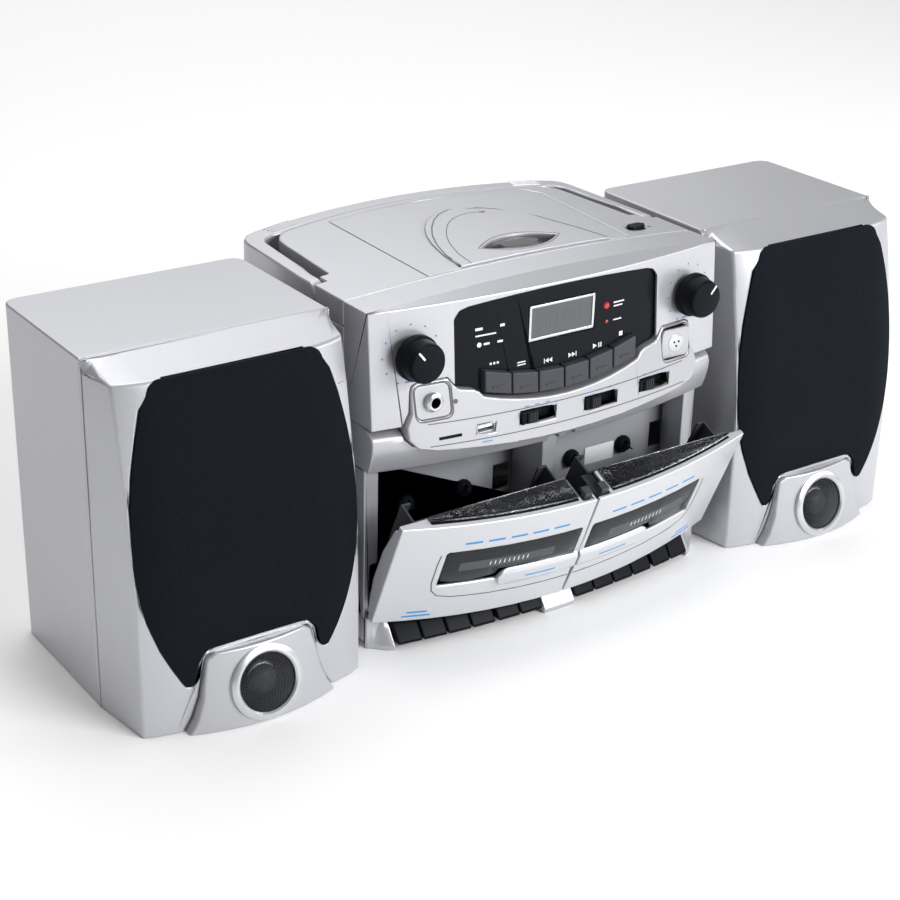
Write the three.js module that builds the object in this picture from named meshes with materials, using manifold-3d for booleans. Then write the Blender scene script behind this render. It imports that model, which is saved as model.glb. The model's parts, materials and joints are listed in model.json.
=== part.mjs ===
// Three-piece portable stereo: a main unit with a top-loading CD player, a radio and twin cassette
// decks, standing between two detachable speakers. Millimetres, +X to the right as the user faces the
// unit, front towards -Y, +Z up. The origin is on the underside of the main unit, in the plane of the
// seam between its front and its rear cabinet.

import * as THREE from "three";
import { mergeVertices } from "three/addons/utils/BufferGeometryUtils.js";
import Module from "manifold-3d";

const wasm = await Module();
wasm.setup();

// ---------------------------------------------------------------- driving dimensions
const GAP = 0.4; // clearance between neighbouring pieces
const WALL = 2.5; // moulded wall of the main unit

// Main unit
const UNIT_HALF = 129; // half width
const UNIT_DEPTH = 132; // seam to back wall
const SIDE_TOP = 214; // height of the top at the sides
const DOME = 5; // rise of the top in the middle
const CABINET_TOP = 198; // where the rear cabinet ends and the top cover starts
const CREASE_Y = -25; // straight crease between the top and the sloping brow
const BROW_SLOPE = 0.45;

// Front surfaces
const FASCIA_Y = 26; // how far the fascia stands forward at the sides, at FASCIA_REF_Z
const FASCIA_REF_Z = 205;
const FASCIA_LEAN = 0.076;
const FASCIA_BOW = 11;
const FASCIA_BOTTOM = 144;
const CONTROL_TOP = 169;
const CONTROL_BOTTOM = 123;
const CONTROL_HALF = 104.5;
const CONTROL_LEAN = 0.15;
const TIER_TOP = 143;
const TIER_BOTTOM = 115.5;
const TIER_BULGE_Z = 135;
const TIER_BOW = 17;

// Display and its six buttons
const DISPLAY_HALF = 75.5;
const DISPLAY_TOP = 212;
const DISPLAY_LOW = 163;
const TRAY_HALF = 57.5;
const TRAY_Z = 147.4; // lowest point of the curved button tray
const TRAY_RISE = 8.3;
const CD_BUTTONS = 6;
const CD_BUTTON_H = 13;
const LCD_BOX = [-23, 178.5, 26.5, 201.5];

// Knobs, jacks and switches
const KNOB_X = 103;
const KNOB_Z = 186.5;
const KNOB_R = 13.8;
const KNOB_SHAFT_R = 3;
const JACK_X = 91;
const JACK_Z = 157;
const JACK_W = 22;
const JACK_H = 19;
const USB_X = -58.5;
const USB_Z = 136;
const USB_W = 12.4;
const USB_H = 4.8;
const SWITCH_SLOT_W = 26.5;
const SWITCH_SLOT_H = 8;
const SWITCH_GRIP_W = 12;
const SWITCH_PLACES = [
  ["function_switch", -22, 137],
  ["dubbing_switch", 25.5, 136],
  ["band_switch", 70, 137.2],
];

// Cassette decks
const PILLAR_W = 10;
const PILLAR_OUT = UNIT_HALF - 2;
const PILLAR_IN = PILLAR_OUT - PILLAR_W; // inner face of the side pillars
const PILLAR_Y = -20;
const CENTRE_PILLAR_HALF = 5.5;
const CENTRE_PILLAR_Y = -31;
const PLATE_Y = 1; // front face of the deck plate
const PLATE_T = 2;
const DECK_X = 63.65; // middle of each deck
const HUB_PITCH = 42.5; // spindle spacing of a compact cassette
const HUB_Z = 74.9;
const SPINDLE_R = 6;
const SPINDLE_SHAFT_R = 2.8;
const SPINDLE_TIP_Y = -7;
const DOOR_IN = 0.8; // inner end of a door
const DOOR_OUT = UNIT_HALF + 1;
const DOOR_BOTTOM = 31.5;
const DOOR_TOP = 113.5;
const DOOR_BOW = 17;
const DOOR_HINGE_Y = -6;
const DOOR_HINGE_Z = 9;
const DOOR_OPEN_DEG = 24;
const DOOR_ARM_T = 3.5;
const CASSETTE_W = 102.2; // pocket for a 100.4 mm cassette
const CASSETTE_T = 12.3;
const HOLDER_BACK_Y = -2;
const HOLDER_Z0 = 38;
const HOLDER_Z1 = 107;
const HOLDER_WALL = 1.5;

// Cassette keys
const KEYS = 6;
const KEY_ROW_IN = 12.5;
const KEY_ROW_OUT = 114.5;
const KEY_GAP = 0.6;
const KEY_SPLIT = 1.6; // wider gap after the fourth key
const KEY_BOTTOM = 4.2;
const KEY_TOP = 19.5;
const KEY_FRONT = 49; // forward reach of the middle keys
const KEY_BOW = 9.5;
const KEY_HINGE_Y = -16;
const KEY_HINGE_Z = 8.5;
const KEY_HINGE_R = 2.8;

// CD player
const DISC_X = 12;
const DISC_Y = 63;
const DISC_WELL_R = 61.3;
const TUB_FLOOR = 203;
const CD_DOOR_T = 2.5;
const CD_DOOR_FRONT = 2.5;
const ARCH_X = 9.5;
const ARCH_HALF = 56;
const ARCH_TOP = 96;
const ARCH_RISE = 1.3;
const EYE_X = 10.7;
const EYE_Y = 22;
const EYE_HALF_W = 28.5;
const EYE_HALF_H = 12.3;
const OPEN_X = 97;
const OPEN_Y = 15;

// Electronics
const BOARD_X = 38;
const BOARD_Y = 64;
const BOARD_Z = 12;
const BOARD_T = 1.6;

// Handle
const HANDLE_PIVOT_Y = 40;
const HANDLE_PIVOT_Z = 206.3;
const HANDLE_END_R = 7.7;
const COVER_CORNER = UNIT_HALF - 33; // where the cover's rear edge turns forward
const COVER_REAR = 131.4;
const COVER_REAR_BOW = 11;
const HANDLE_REAR = 143.8;

// Speakers
const SPEAKER_GAP = 10.1; // between the unit and a hung speaker
const SPEAKER_W = 151.5;
const SPEAKER_IN = UNIT_HALF + SPEAKER_GAP;
const SPEAKER_OUT = SPEAKER_IN + SPEAKER_W;
const SPEAKER_H = 212;
const SPEAKER_DEPTH = 104;
const SPEAKER_WALL = 3.5;
const BAFFLE_EDGE = 5.7; // width of the swept flank down each side of the baffle
const GRILLE_TOP = 204;
const GRILLE_MID_Z = 112;
const GRILLE_MID_W = 69;
const GRILLE_TOP_W = 52;
const GRILLE_TIP_Z = 28;
const GRILLE_TIP_W = 44;
const POD_TOP = 46;
const POD_BASE_W = 47;
const POD_FRONT = 64;
const TWEETER_Z = 22.5;
const TWEETER_R = 19;
const WOOFER_Z = 118;
const WOOFER_R = 48;
const RAIL_Y = 54;
const RAIL_Z0 = 20;
const RAIL_Z1 = 120;
const RAIL_NECK = 8;
const RAIL_HEAD = 18;

// Antenna
const MAST_Y = 147.2;
const MAST_X = UNIT_HALF - 13;
const MAST_Z = 186;
const MAST_R = 2.6;
const MAST_LENGTH = 190;
const TIP_R = 1.4;

// ---------------------------------------------------------------- geometry helpers
const level = (value) => () => value;

function steps(from, to, count) {
  return Array.from({ length: count + 1 }, (_, i) => from + ((to - from) * i) / count);
}

// A closed three.js geometry as a solid that can be joined and cut.
function solid(geometry) {
  const bare = geometry.index ? geometry.toNonIndexed() : geometry.clone();
  bare.deleteAttribute("normal");
  bare.deleteAttribute("uv");
  const merged = mergeVertices(bare, 1e-3);
  return new wasm.Manifold(
    new wasm.Mesh({
      numProp: 3,
      vertProperties: merged.attributes.position.array,
      triVerts: new Uint32Array(merged.index.array),
    }),
  );
}

// A block whose two faces across Y follow front(x, z) and back(x, z).
function bowedBlock(xs, zs, front, back) {
  const box = new THREE.BoxGeometry(1, 1, 1, xs.length - 1, 1, zs.length - 1);
  const spots = box.attributes.position;
  for (let i = 0; i < spots.count; i++) {
    const x = xs[Math.round((spots.getX(i) + 0.5) * (xs.length - 1))];
    const z = zs[Math.round((spots.getZ(i) + 0.5) * (zs.length - 1))];
    spots.setXYZ(i, x, (spots.getY(i) < 0 ? front : back)(x, z), z);
  }
  return solid(box);
}

// A block whose lower and upper faces follow bottom(x, y) and top(x, y).
function domedBlock(xs, ys, bottom, top) {
  const box = new THREE.BoxGeometry(1, 1, 1, xs.length - 1, ys.length - 1, 1);
  const spots = box.attributes.position;
  for (let i = 0; i < spots.count; i++) {
    const x = xs[Math.round((spots.getX(i) + 0.5) * (xs.length - 1))];
    const y = ys[Math.round((spots.getY(i) + 0.5) * (ys.length - 1))];
    spots.setXYZ(i, x, y, (spots.getZ(i) < 0 ? bottom : top)(x, y));
  }
  return solid(box);
}

function box(x0, x1, y0, y1, z0, z1) {
  const made = new THREE.BoxGeometry(x1 - x0, y1 - y0, z1 - z0);
  return solid(made.translate((x0 + x1) / 2, (y0 + y1) / 2, (z0 + z1) / 2));
}

function extruded(points, depth) {
  const shape = new THREE.Shape(points.map(([u, v]) => new THREE.Vector2(u, v)));
  return new THREE.ExtrudeGeometry(shape, { depth, bevelEnabled: false });
}

// Outlines in (x, y), (x, z) and (y, z), pushed through the third direction.
function alongZ(points, z0, z1) {
  return solid(extruded(points, z1 - z0).translate(0, 0, z0));
}

function alongY(points, y0, y1) {
  return solid(extruded(points, y1 - y0).rotateX(Math.PI / 2).translate(0, y1, 0));
}

function alongX(points, x0, x1) {
  const turn = new THREE.Matrix4().makeBasis(
    new THREE.Vector3(0, 1, 0),
    new THREE.Vector3(0, 0, 1),
    new THREE.Vector3(1, 0, 0),
  );
  return solid(extruded(points, x1 - x0).applyMatrix4(turn).translate(x0, 0, 0));
}

function arc(u, v, r, from, to, count) {
  return steps(from, to, count).map((deg) => {
    const a = (deg * Math.PI) / 180;
    return [u + r * Math.cos(a), v + r * Math.sin(a)];
  });
}

function circle(u, v, r, count = 24) {
  return arc(u, v, r, 0, 360 - 360 / count, count - 1);
}

function roundRect(u0, v0, u1, v1, r, count = 3) {
  return [
    ...arc(u1 - r, v0 + r, r, -90, 0, count),
    ...arc(u1 - r, v1 - r, r, 0, 90, count),
    ...arc(u0 + r, v1 - r, r, 90, 180, count),
    ...arc(u0 + r, v0 + r, r, 180, 270, count),
  ];
}

function mirrored(points) {
  return points.map(([u, v]) => [-u, v]).reverse();
}

// An outline moved outwards by d (inwards where d is negative).
function grown(points, d) {
  const way = Math.sign(THREE.ShapeUtils.area(points.map(([x, y]) => ({ x, y }))));
  return points.map((here, i) => {
    const before = points[(i + points.length - 1) % points.length];
    const after = points[(i + 1) % points.length];
    const a = new THREE.Vector2(here[0] - before[0], here[1] - before[1]).normalize();
    const b = new THREE.Vector2(after[0] - here[0], after[1] - here[1]).normalize();
    const out = new THREE.Vector2(a.y + b.y, -(a.x + b.x)).normalize().multiplyScalar(way);
    const reach = d / Math.max(0.4, out.x * a.y * way - out.y * a.x * way);
    return [here[0] + out.x * reach, here[1] + out.y * reach];
  });
}

// A turned solid: profile of [radius, distance] with the axis along Y, distance growing towards +Y.
function turned(profile, x, z, segments = 20) {
  const made = new THREE.LatheGeometry(profile.map(([r, d]) => new THREE.Vector2(r, d)), segments);
  return solid(made.translate(x, 0, z));
}

const stereo = new THREE.Group();

function add(name, body, colour, roughness, metalness, parent = stereo) {
  const cut = body.getMesh();
  const geometry = new THREE.BufferGeometry();
  geometry.setAttribute("position", new THREE.BufferAttribute(cut.vertProperties, 3));
  geometry.setIndex(new THREE.BufferAttribute(cut.triVerts, 1));
  geometry.computeVertexNormals();
  const finish = new THREE.MeshStandardMaterial({ color: colour, roughness, metalness });
  const mesh = new THREE.Mesh(geometry, finish);
  mesh.name = name;
  parent.add(mesh);
  return mesh;
}

const SILVER = 0xc9c9cf;
const BRIGHT_SILVER = 0xe2e3e6;
const BLACK = 0x16171a;

// ---------------------------------------------------------------- surfaces of the main unit
const bow = (x) => 1 - (x / UNIT_HALF) ** 2;
const topAt = (x, y) => SIDE_TOP + DOME * bow(x) + Math.min(0, y - CREASE_Y) * BROW_SLOPE;
const fasciaFront = (x, z) => -FASCIA_Y - (FASCIA_REF_Z - z) * FASCIA_LEAN - FASCIA_BOW * bow(x);
const controlFront = (x, z) => fasciaFront(x, z) - CONTROL_LEAN * Math.max(0, CONTROL_TOP - z);
const keyFront = (x) => -KEY_FRONT + KEY_BOW * (x / 113) ** 2;
const behind = (surface, d) => (x, z) => surface(x, z) + d;

function tierFront(x, z) {
  const above = (z - TIER_BULGE_Z) / (TIER_TOP - TIER_BULGE_Z);
  const below = (z - TIER_BOTTOM) / (TIER_BULGE_Z - TIER_BOTTOM);
  const round =
    above > 0
      ? 16 + 14 * Math.sqrt(Math.max(0, 1 - above ** 2))
      : 25 + 5 * Math.sin((Math.PI / 2) * below);
  return -round - TIER_BOW * bow(x);
}

function doorFront(x, z) {
  const down = (DOOR_TOP - z) / (DOOR_TOP - DOOR_BOTTOM);
  return -(25 + 1.5 * down) - (DOOR_BOW + 2 * down) * bow(x);
}

// Everything under the domed top, lowered by d.
function underRoof(d) {
  const xs = steps(-UNIT_HALF - 8, UNIT_HALF + 8, 14);
  return domedBlock(xs, [-80, CREASE_Y, 160], level(60), (x, y) => topAt(x, y) - d);
}

// ---------------------------------------------------------------- outlines of the main unit
const trayLow = (x) => TRAY_Z + TRAY_RISE * (x / TRAY_HALF) ** 2;

const displayOutline = [
  ...steps(-66, 66, 8).map((x) => [x, DISPLAY_TOP - 3.6 * (x / 74) ** 2]).reverse(),
  [-72, 207.5],
  [-DISPLAY_HALF, 203],
  [-DISPLAY_HALF, DISPLAY_LOW - 5],
  [-60, 155],
  [-45, 148],
  [0, TRAY_Z - 4],
  [45, 148],
  [60, 155],
  [DISPLAY_HALF, DISPLAY_LOW - 5],
  [DISPLAY_HALF, 203],
  [72, 207.5],
];

const controlEdge = [
  ...steps(0, TRAY_HALF, 5).map((x) => [x, trayLow(x) - 1.4]),
  [60.5, 157.6],
  [64, 159.5],
  [74, 161.6],
  [78, 165.5],
  [80.5, CONTROL_TOP],
  [CONTROL_HALF - 4, CONTROL_TOP],
  [CONTROL_HALF - 0.8, CONTROL_TOP - 1.6],
  [CONTROL_HALF, CONTROL_TOP - 5],
  [CONTROL_HALF + 0.6, 152],
  [CONTROL_HALF + 4.5, 144.5],
  [CONTROL_HALF + 4, 137],
  [CONTROL_HALF - 1, 131.5],
  ...steps(92, 0, 5).map((x) => [x, CONTROL_BOTTOM + 7 * (x / 104) ** 2]),
];
const controlOutline = [...controlEdge.slice(0, -1), ...mirrored(controlEdge).slice(0, -1)];

const coverRear = (x) => COVER_REAR - COVER_REAR_BOW * (x / (COVER_CORNER + 1)) ** 2;
function coverOutline(inset) {
  const rear = (x) => coverRear(x) - inset;
  const half = [
    [0, rear(0)],
    ...steps(COVER_CORNER / 4, COVER_CORNER, 3).map((x) => [x, rear(x)]),
    [COVER_CORNER + 7.5 - inset * 0.8, 117 - inset * 0.8],
    [COVER_CORNER + 12 - inset, 110],
    [COVER_CORNER + 13.4 - inset, 101],
    [COVER_CORNER + 17.5 - inset, HANDLE_PIVOT_Y + 1.5],
    [UNIT_HALF - 8.5 - inset, HANDLE_PIVOT_Y + 1],
    [UNIT_HALF - 8.5 - inset, HANDLE_PIVOT_Y - HANDLE_END_R - GAP - inset * 0.5],
    [UNIT_HALF - inset, HANDLE_PIVOT_Y - HANDLE_END_R - GAP - inset * 0.5],
    [UNIT_HALF - inset, GAP],
  ];
  return [...half, ...mirrored(half).slice(0, -1)];
}

function cdDoorOutline(inset) {
  const rear = (x) => coverRear(x) - 6.8 - inset;
  return [
    [-69.5 + inset, CD_DOOR_FRONT + inset],
    [80 - inset, CD_DOOR_FRONT + inset],
    [90 - inset, 106],
    ...[84, 60, 30, 0, -30].map((x) => [x - inset * 0.5, rear(x)]),
    [-66 + inset, rear(-66)],
  ];
}

// ---------------------------------------------------------------- main unit, fixed pieces
function rearCabinet() {
  const plan = (inset) =>
    roundRect(-UNIT_HALF + inset, -40, UNIT_HALF - inset, UNIT_DEPTH - inset, 9 - inset * 0.6);
  const ahead = box(-UNIT_HALF - 5, UNIT_HALF + 5, -60, GAP, -1, CABINET_TOP + 2);
  const outer = alongZ(plan(0), 0, CABINET_TOP).subtract(ahead);
  const inner = alongZ(plan(WALL), WALL, CABINET_TOP + 5);
  const tray = box(-UNIT_HALF + 6, UNIT_HALF - 6, -23.4, 6, 0, WALL);
  const inlet = box(88, 114, UNIT_DEPTH - 6, UNIT_DEPTH + 2, 28, 48);
  let shell = outer.subtract(inner).add(tray).subtract(inlet);
  for (const side of [-1, 1]) {
    const post = (x0, x1, half) =>
      box(Math.min(side * x0, side * x1), Math.max(side * x0, side * x1),
        RAIL_Y - half, RAIL_Y + half, RAIL_Z0, RAIL_Z1);
    shell = shell.add(post(UNIT_HALF - 1, SPEAKER_IN + SPEAKER_WALL + 4, RAIL_NECK / 2));
    shell = shell.add(post(SPEAKER_IN + SPEAKER_WALL + GAP, SPEAKER_IN + SPEAKER_WALL + 4, RAIL_HEAD / 2));
  }
  for (const [x, y] of [[-66, -36], [66, -36], [-66, 30], [66, 30]]) {
    const post = circle(BOARD_X + x, BOARD_Y + y, 3, 8);
    shell = shell.add(alongZ(post, WALL - 0.5, BOARD_Z - GAP));
  }
  const knuckle = box(MAST_X - 7, MAST_X + 7, UNIT_DEPTH - 1, MAST_Y - MAST_R - 1.5, MAST_Z - 7, MAST_Z + 7);
  return shell.add(knuckle);
}
add("rear_cabinet", rearCabinet(), SILVER, 0.45, 0.3);

function topCover() {
  const floor = CABINET_TOP + GAP;
  const outer = alongZ(coverOutline(0), floor, 240).intersect(underRoof(0));
  const inner = alongZ(coverOutline(WALL), floor - 5, 240).intersect(underRoof(WALL));
  const opening = alongZ(cdDoorOutline(-GAP), floor - 5, 240);
  const button = alongZ(roundRect(OPEN_X - 7, OPEN_Y - 4.2, OPEN_X + 7, OPEN_Y + 4.2, 4.1), floor - 5, 240);
  const pivots = alongX(circle(HANDLE_PIVOT_Y, HANDLE_PIVOT_Z, 2.9, 12), -UNIT_HALF, UNIT_HALF);
  return outer.subtract(inner).subtract(opening).subtract(button).subtract(pivots);
}
add("top_cover", topCover(), SILVER, 0.42, 0.35);

function frontFascia() {
  const zs = [FASCIA_BOTTOM, CONTROL_TOP, 190, FASCIA_REF_Z, 225];
  const outer = bowedBlock(steps(-UNIT_HALF, UNIT_HALF, 12), zs, fasciaFront, level(-GAP / 2));
  const inside = steps(-UNIT_HALF + WALL, UNIT_HALF - WALL, 12);
  const inner = bowedBlock(inside, [FASCIA_BOTTOM - 5, ...zs.slice(1)], behind(fasciaFront, WALL), level(2));
  const shell = outer.intersect(underRoof(0)).subtract(inner.intersect(underRoof(WALL)));
  const shafts = [-KNOB_X, KNOB_X].map((x) => alongY(circle(x, KNOB_Z, KNOB_SHAFT_R + GAP, 12), -60, -10));
  return shell
    .subtract(alongY(displayOutline, -80, -12))
    .subtract(alongY(grown(controlOutline, GAP), -80, -12))
    .subtract(shafts[0])
    .subtract(shafts[1]);
}
add("front_fascia", frontFascia(), SILVER, 0.38, 0.4);

function controlShell(outside) {
  const zs = [CONTROL_BOTTOM - 3, 131, 140, 150, 160, CONTROL_TOP + 1];
  const xs = steps(-CONTROL_HALF - 8, CONTROL_HALF + 8, 12);
  const outer = bowedBlock(xs, zs, behind(controlFront, -outside), level(-14));
  return outer.intersect(alongY(grown(controlOutline, outside), -80, 0));
}

function controlPanel() {
  const zs = [CONTROL_BOTTOM - 5, 131, 140, 150, 160, CONTROL_TOP + 3];
  const xs = steps(-CONTROL_HALF - 8, CONTROL_HALF + 8, 12);
  const inner = bowedBlock(xs, zs, behind(controlFront, WALL), level(0));
  let panel = controlShell(0).subtract(inner.intersect(alongY(grown(controlOutline, -WALL), -80, 5)));
  const slot = (x, z, w, h, r, count) =>
    alongY(roundRect(x - w, z - h, x + w, z + h, r, count), -80, 0);
  for (const x of [-JACK_X, JACK_X]) {
    panel = panel.subtract(slot(x, JACK_Z, JACK_W / 2 + GAP, JACK_H / 2 + GAP, 4, 3));
  }
  for (const [, x, z] of SWITCH_PLACES) {
    panel = panel.subtract(slot(x, z, SWITCH_SLOT_W / 2, SWITCH_SLOT_H / 2, 0.5, 1));
  }
  return panel.subtract(slot(USB_X, USB_Z, USB_W / 2 + GAP, USB_H / 2 + GAP, 0.5, 1));
}
add("control_panel", controlPanel(), BRIGHT_SILVER, 0.35, 0.3);

const buttonPitch = (2 * (TRAY_HALF - 0.5)) / CD_BUTTONS;
function cdButtonOutline(index) {
  const x0 = -TRAY_HALF + 0.5 + index * buttonPitch + GAP;
  const x1 = x0 + buttonPitch - 2 * GAP;
  const foot = (x) => trayLow(x) + 0.9;
  return [
    [x0, foot(x0)],
    [x1, foot(x1)],
    [x1, foot(x1) + CD_BUTTON_H],
    [x0, foot(x0) + CD_BUTTON_H],
  ];
}

function displayPanel() {
  const zs = [TRAY_Z - 4, CONTROL_TOP, 190, 216];
  const face = bowedBlock(
    steps(-DISPLAY_HALF - 4, DISPLAY_HALF + 4, 10), zs,
    behind(fasciaFront, WALL + GAP), behind(fasciaFront, WALL + GAP + 2));
  const mouth = alongY(roundRect(...LCD_BOX, 1, 1), -80, 0);
  const below = alongY(grown(controlOutline, GAP), -80, 0);
  let panel = face.intersect(underRoof(WALL + GAP)).subtract(mouth).subtract(below);
  for (let i = 0; i < CD_BUTTONS; i++) {
    panel = panel.subtract(alongY(grown(cdButtonOutline(i), GAP * 0.9), -80, 0));
  }
  return panel;
}
add("display_panel", displayPanel(), BLACK, 0.15, 0.0);

function deckFrame() {
  const xs = steps(-UNIT_HALF + 1, UNIT_HALF - 1, 12);
  const zs = [TIER_BOTTOM, 122, 129, TIER_BULGE_Z, 138.5, 141.3, TIER_TOP];
  const bar = bowedBlock(xs, zs, tierFront, behind(tierFront, WALL));
  const lip = bowedBlock(xs, [TIER_BOTTOM, TIER_BOTTOM + WALL], behind(tierFront, 0.5), level(-GAP));
  const ends = [-1, 1].map((side) => {
    const end = side * (UNIT_HALF - 2.2);
    const range = side < 0 ? [end - 1.2, end + 1] : [end - 1, end + 1.2];
    return bowedBlock(range, zs, behind(tierFront, 0.5), level(-GAP));
  });
  const post = (x0, x1, y) => box(x0, x1, y, -GAP, 3, TIER_BOTTOM + 1);
  const base = (x0, x1, front) =>
    bowedBlock(steps(x0, x1, 4), [0, 3, 12, 18, 20.5], front, level(-24));
  const slope = (x, z) =>
    keyFront(x) + 0.73 * (z - 5) + (z > 17 ? (z - 17) * 1.2 : 0) + (z < 2 ? 2.5 : 0);
  const sweep = (x) => 2.5 + 0.045 * Math.max(0, Math.abs(x) - KEY_ROW_OUT + 1.5) ** 2;
  const cornerFront = (x, z) => Math.min(slope(x, z) + sweep(x), -26.5);
  const sill = box(-PILLAR_OUT + 1, PILLAR_OUT - 1, -13, -GAP, WALL + GAP, 4.2);
  let frame = bar.add(lip).add(ends[0]).add(ends[1]).add(sill);
  frame = frame.add(post(-CENTRE_PILLAR_HALF, CENTRE_PILLAR_HALF, CENTRE_PILLAR_Y));
  frame = frame.add(base(-KEY_ROW_IN + GAP, KEY_ROW_IN - GAP, behind(slope, 0.5)));
  for (const side of [-1, 1]) {
    const span = (a, b) => (side > 0 ? [a, b] : [-b, -a]);
    frame = frame.add(post(...span(PILLAR_IN, PILLAR_OUT), PILLAR_Y));
    frame = frame.add(base(...span(KEY_ROW_OUT + GAP, UNIT_HALF), cornerFront));
    frame = frame.add(box(...span(PILLAR_OUT - 3.3, UNIT_HALF - 0.3), -25, -1, 3.3, 18.6));
  }
  // Ways through for the door arms, their pins, the latch hooks and the control panel.
  for (const side of [-1, 1]) {
    const span = (a, b) => (side > 0 ? [a, b] : [-b, -a]);
    frame = frame.subtract(box(...span(PILLAR_IN - 1, PILLAR_IN + 5.5), -21, 2, 4.6, 52));
    frame = frame.subtract(box(...span(2.5, 10), -60, -31, TIER_BOTTOM - 1, TIER_BOTTOM + 3));
  }
  frame = frame.subtract(
    alongX(circle(DOOR_HINGE_Y, DOOR_HINGE_Z, 2.4, 12), -UNIT_HALF - 1, UNIT_HALF + 1));
  return frame.subtract(controlShell(GAP));
}
add("deck_frame", deckFrame(), SILVER, 0.42, 0.3);

function deckPlate() {
  let plate = box(-UNIT_HALF + 5, UNIT_HALF - 5, PLATE_Y, PLATE_Y + PLATE_T, 7, 113);
  for (const side of [-1, 1]) {
    for (const hub of [-1, 1]) {
      const x = side * DECK_X + (hub * HUB_PITCH) / 2;
      plate = plate.subtract(alongY(circle(x, HUB_Z, SPINDLE_SHAFT_R + GAP, 12), -5, 10));
    }
    const right = side * DECK_X + 52.5;
    plate = plate.subtract(box(right - 7.5, right + 5.5, -5, 10, 66, 84));
    plate = plate.subtract(box(side * DECK_X - 36, side * DECK_X - 30, -5, 10, 92.5, 95.5));
    plate = plate.subtract(box(side * DECK_X - 43.5, side * DECK_X - 42.2, -5, 10, 64, 86));
  }
  return plate;
}
add("deck_plate", deckPlate(), 0x9c9ea6, 0.5, 0.35);

function cdDeck() {
  const flange = box(-72, 89.5, 1.6, 126, 209, 211);
  const cup = alongZ(circle(DISC_X, DISC_Y, DISC_WELL_R + 1.6, 40), TUB_FLOOR - 2, 211);
  const cover = alongZ(coverOutline(WALL + GAP), 190, 220).intersect(underRoof(WALL + GAP));
  const well = alongZ(circle(DISC_X, DISC_Y, DISC_WELL_R, 40), TUB_FLOOR, 230);
  const hub = alongZ(circle(DISC_X, DISC_Y, 16.5, 20), 190, 230);
  const slot = box(DISC_X + 14, DISC_X + 62.6, DISC_Y - 12, DISC_Y + 12, 190, TUB_FLOOR + 1.5);
  return flange.add(cup).intersect(cover).subtract(well).subtract(hub).subtract(slot);
}
add("cd_deck", cdDeck(), 0x2a2b2f, 0.5, 0.0);

function circuitBoard() {
  const z = BOARD_Z + BOARD_T;
  const board = box(BOARD_X - 72, BOARD_X + 72, BOARD_Y - 42, BOARD_Y + 42, BOARD_Z, z);
  const chip = (x, y, w, d, h) => box(
    BOARD_X + x - w / 2, BOARD_X + x + w / 2, BOARD_Y + y - d / 2, BOARD_Y + y + d / 2, z - 1, z + h);
  return board
    .add(chip(-30, -5, 26, 26, 2.5))
    .add(chip(-25, 30, 60, 10, 24))
    .add(chip(30, -20, 14, 8, 3))
    .add(alongZ(circle(BOARD_X + 45, BOARD_Y + 8, 8, 12), z - 1, z + 24))
    .add(alongZ(circle(BOARD_X + 20, BOARD_Y + 4, 6.5, 12), z - 1, z + 17));
}
add("circuit_board", circuitBoard(), 0x2e6b3c, 0.6, 0.0);

function powerTransformer() {
  const core = box(-110, -50, 76, 100, 3, 53);
  const coil = box(-96, -64, 64, 112, 12, 44);
  const feet = box(-118, -42, 80, 96, 3, 5);
  return core.add(coil).add(feet);
}
add("power_transformer", powerTransformer(), 0x6d6e70, 0.5, 0.7);

function headphoneJack() {
  const w = JACK_W / 2;
  const h = JACK_H / 2;
  const xs = steps(-JACK_X - w, -JACK_X + w, 3);
  const zs = [JACK_Z - h, JACK_Z + h];
  const plate = bowedBlock(xs, zs, behind(controlFront, 0.8), behind(controlFront, 2.8));
  const rim = roundRect(-JACK_X - w, JACK_Z - h, -JACK_X + w, JACK_Z + h, 3.6);
  const barrel = alongY(circle(-JACK_X, JACK_Z, 5.4, 16), controlFront(-JACK_X, JACK_Z) - 0.4, -20);
  const bore = alongY(circle(-JACK_X, JACK_Z, 3.2, 12), -80, -23);
  return plate.intersect(alongY(rim, -80, 0)).add(barrel).subtract(bore);
}
add("headphone_jack", headphoneJack(), 0xb9babd, 0.3, 0.7);

function acInlet() {
  const body = box(90, 112, UNIT_DEPTH - 22, UNIT_DEPTH - 0.6, 30, 46);
  const mouth = alongY(roundRect(92.5, 33, 109.5, 43, 4.5), UNIT_DEPTH - 16, UNIT_DEPTH + 5);
  const pins = [97, 105].map((x) => alongY(circle(x, 38, 1.3, 8), UNIT_DEPTH - 17, UNIT_DEPTH - 6));
  return body.subtract(mouth).add(pins[0]).add(pins[1]);
}
add("ac_inlet", acInlet(), BLACK, 0.5, 0.0);

// ---------------------------------------------------------------- knobs, buttons and switches
function knob() {
  const depth = 15;
  const profile = [
    [0, -depth], [KNOB_R - 3.4, -depth], [KNOB_R - 1.9, -depth + 1.4], [KNOB_R - 1.3, -5],
    [KNOB_R - 0.2, -4.4], [KNOB_R, -0.8], [KNOB_R - 0.6, 0], [KNOB_SHAFT_R, 0],
    [KNOB_SHAFT_R, 9], [0, 9],
  ];
  return turned(profile, 0, 0, 24);
}
for (const [name, x] of [["volume_knob", -KNOB_X], ["tuning_knob", KNOB_X]]) {
  const seat = fasciaFront(KNOB_X - KNOB_R, KNOB_Z - KNOB_R) - GAP;
  add(name, knob(), BLACK, 0.4, 0.0).position.set(x, seat, KNOB_Z);
}

for (let i = 0; i < CD_BUTTONS; i++) {
  const edge = cdButtonOutline(i);
  const block = bowedBlock(
    steps(edge[0][0] - 1, edge[1][0] + 1, 2), [TRAY_Z - 2, 175],
    behind(fasciaFront, -1.6), behind(fasciaFront, 10));
  add(`cd_button_${i + 1}`, block.intersect(alongY(edge, -80, 0)), 0x4a4c51, 0.45, 0.1);
}

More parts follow.
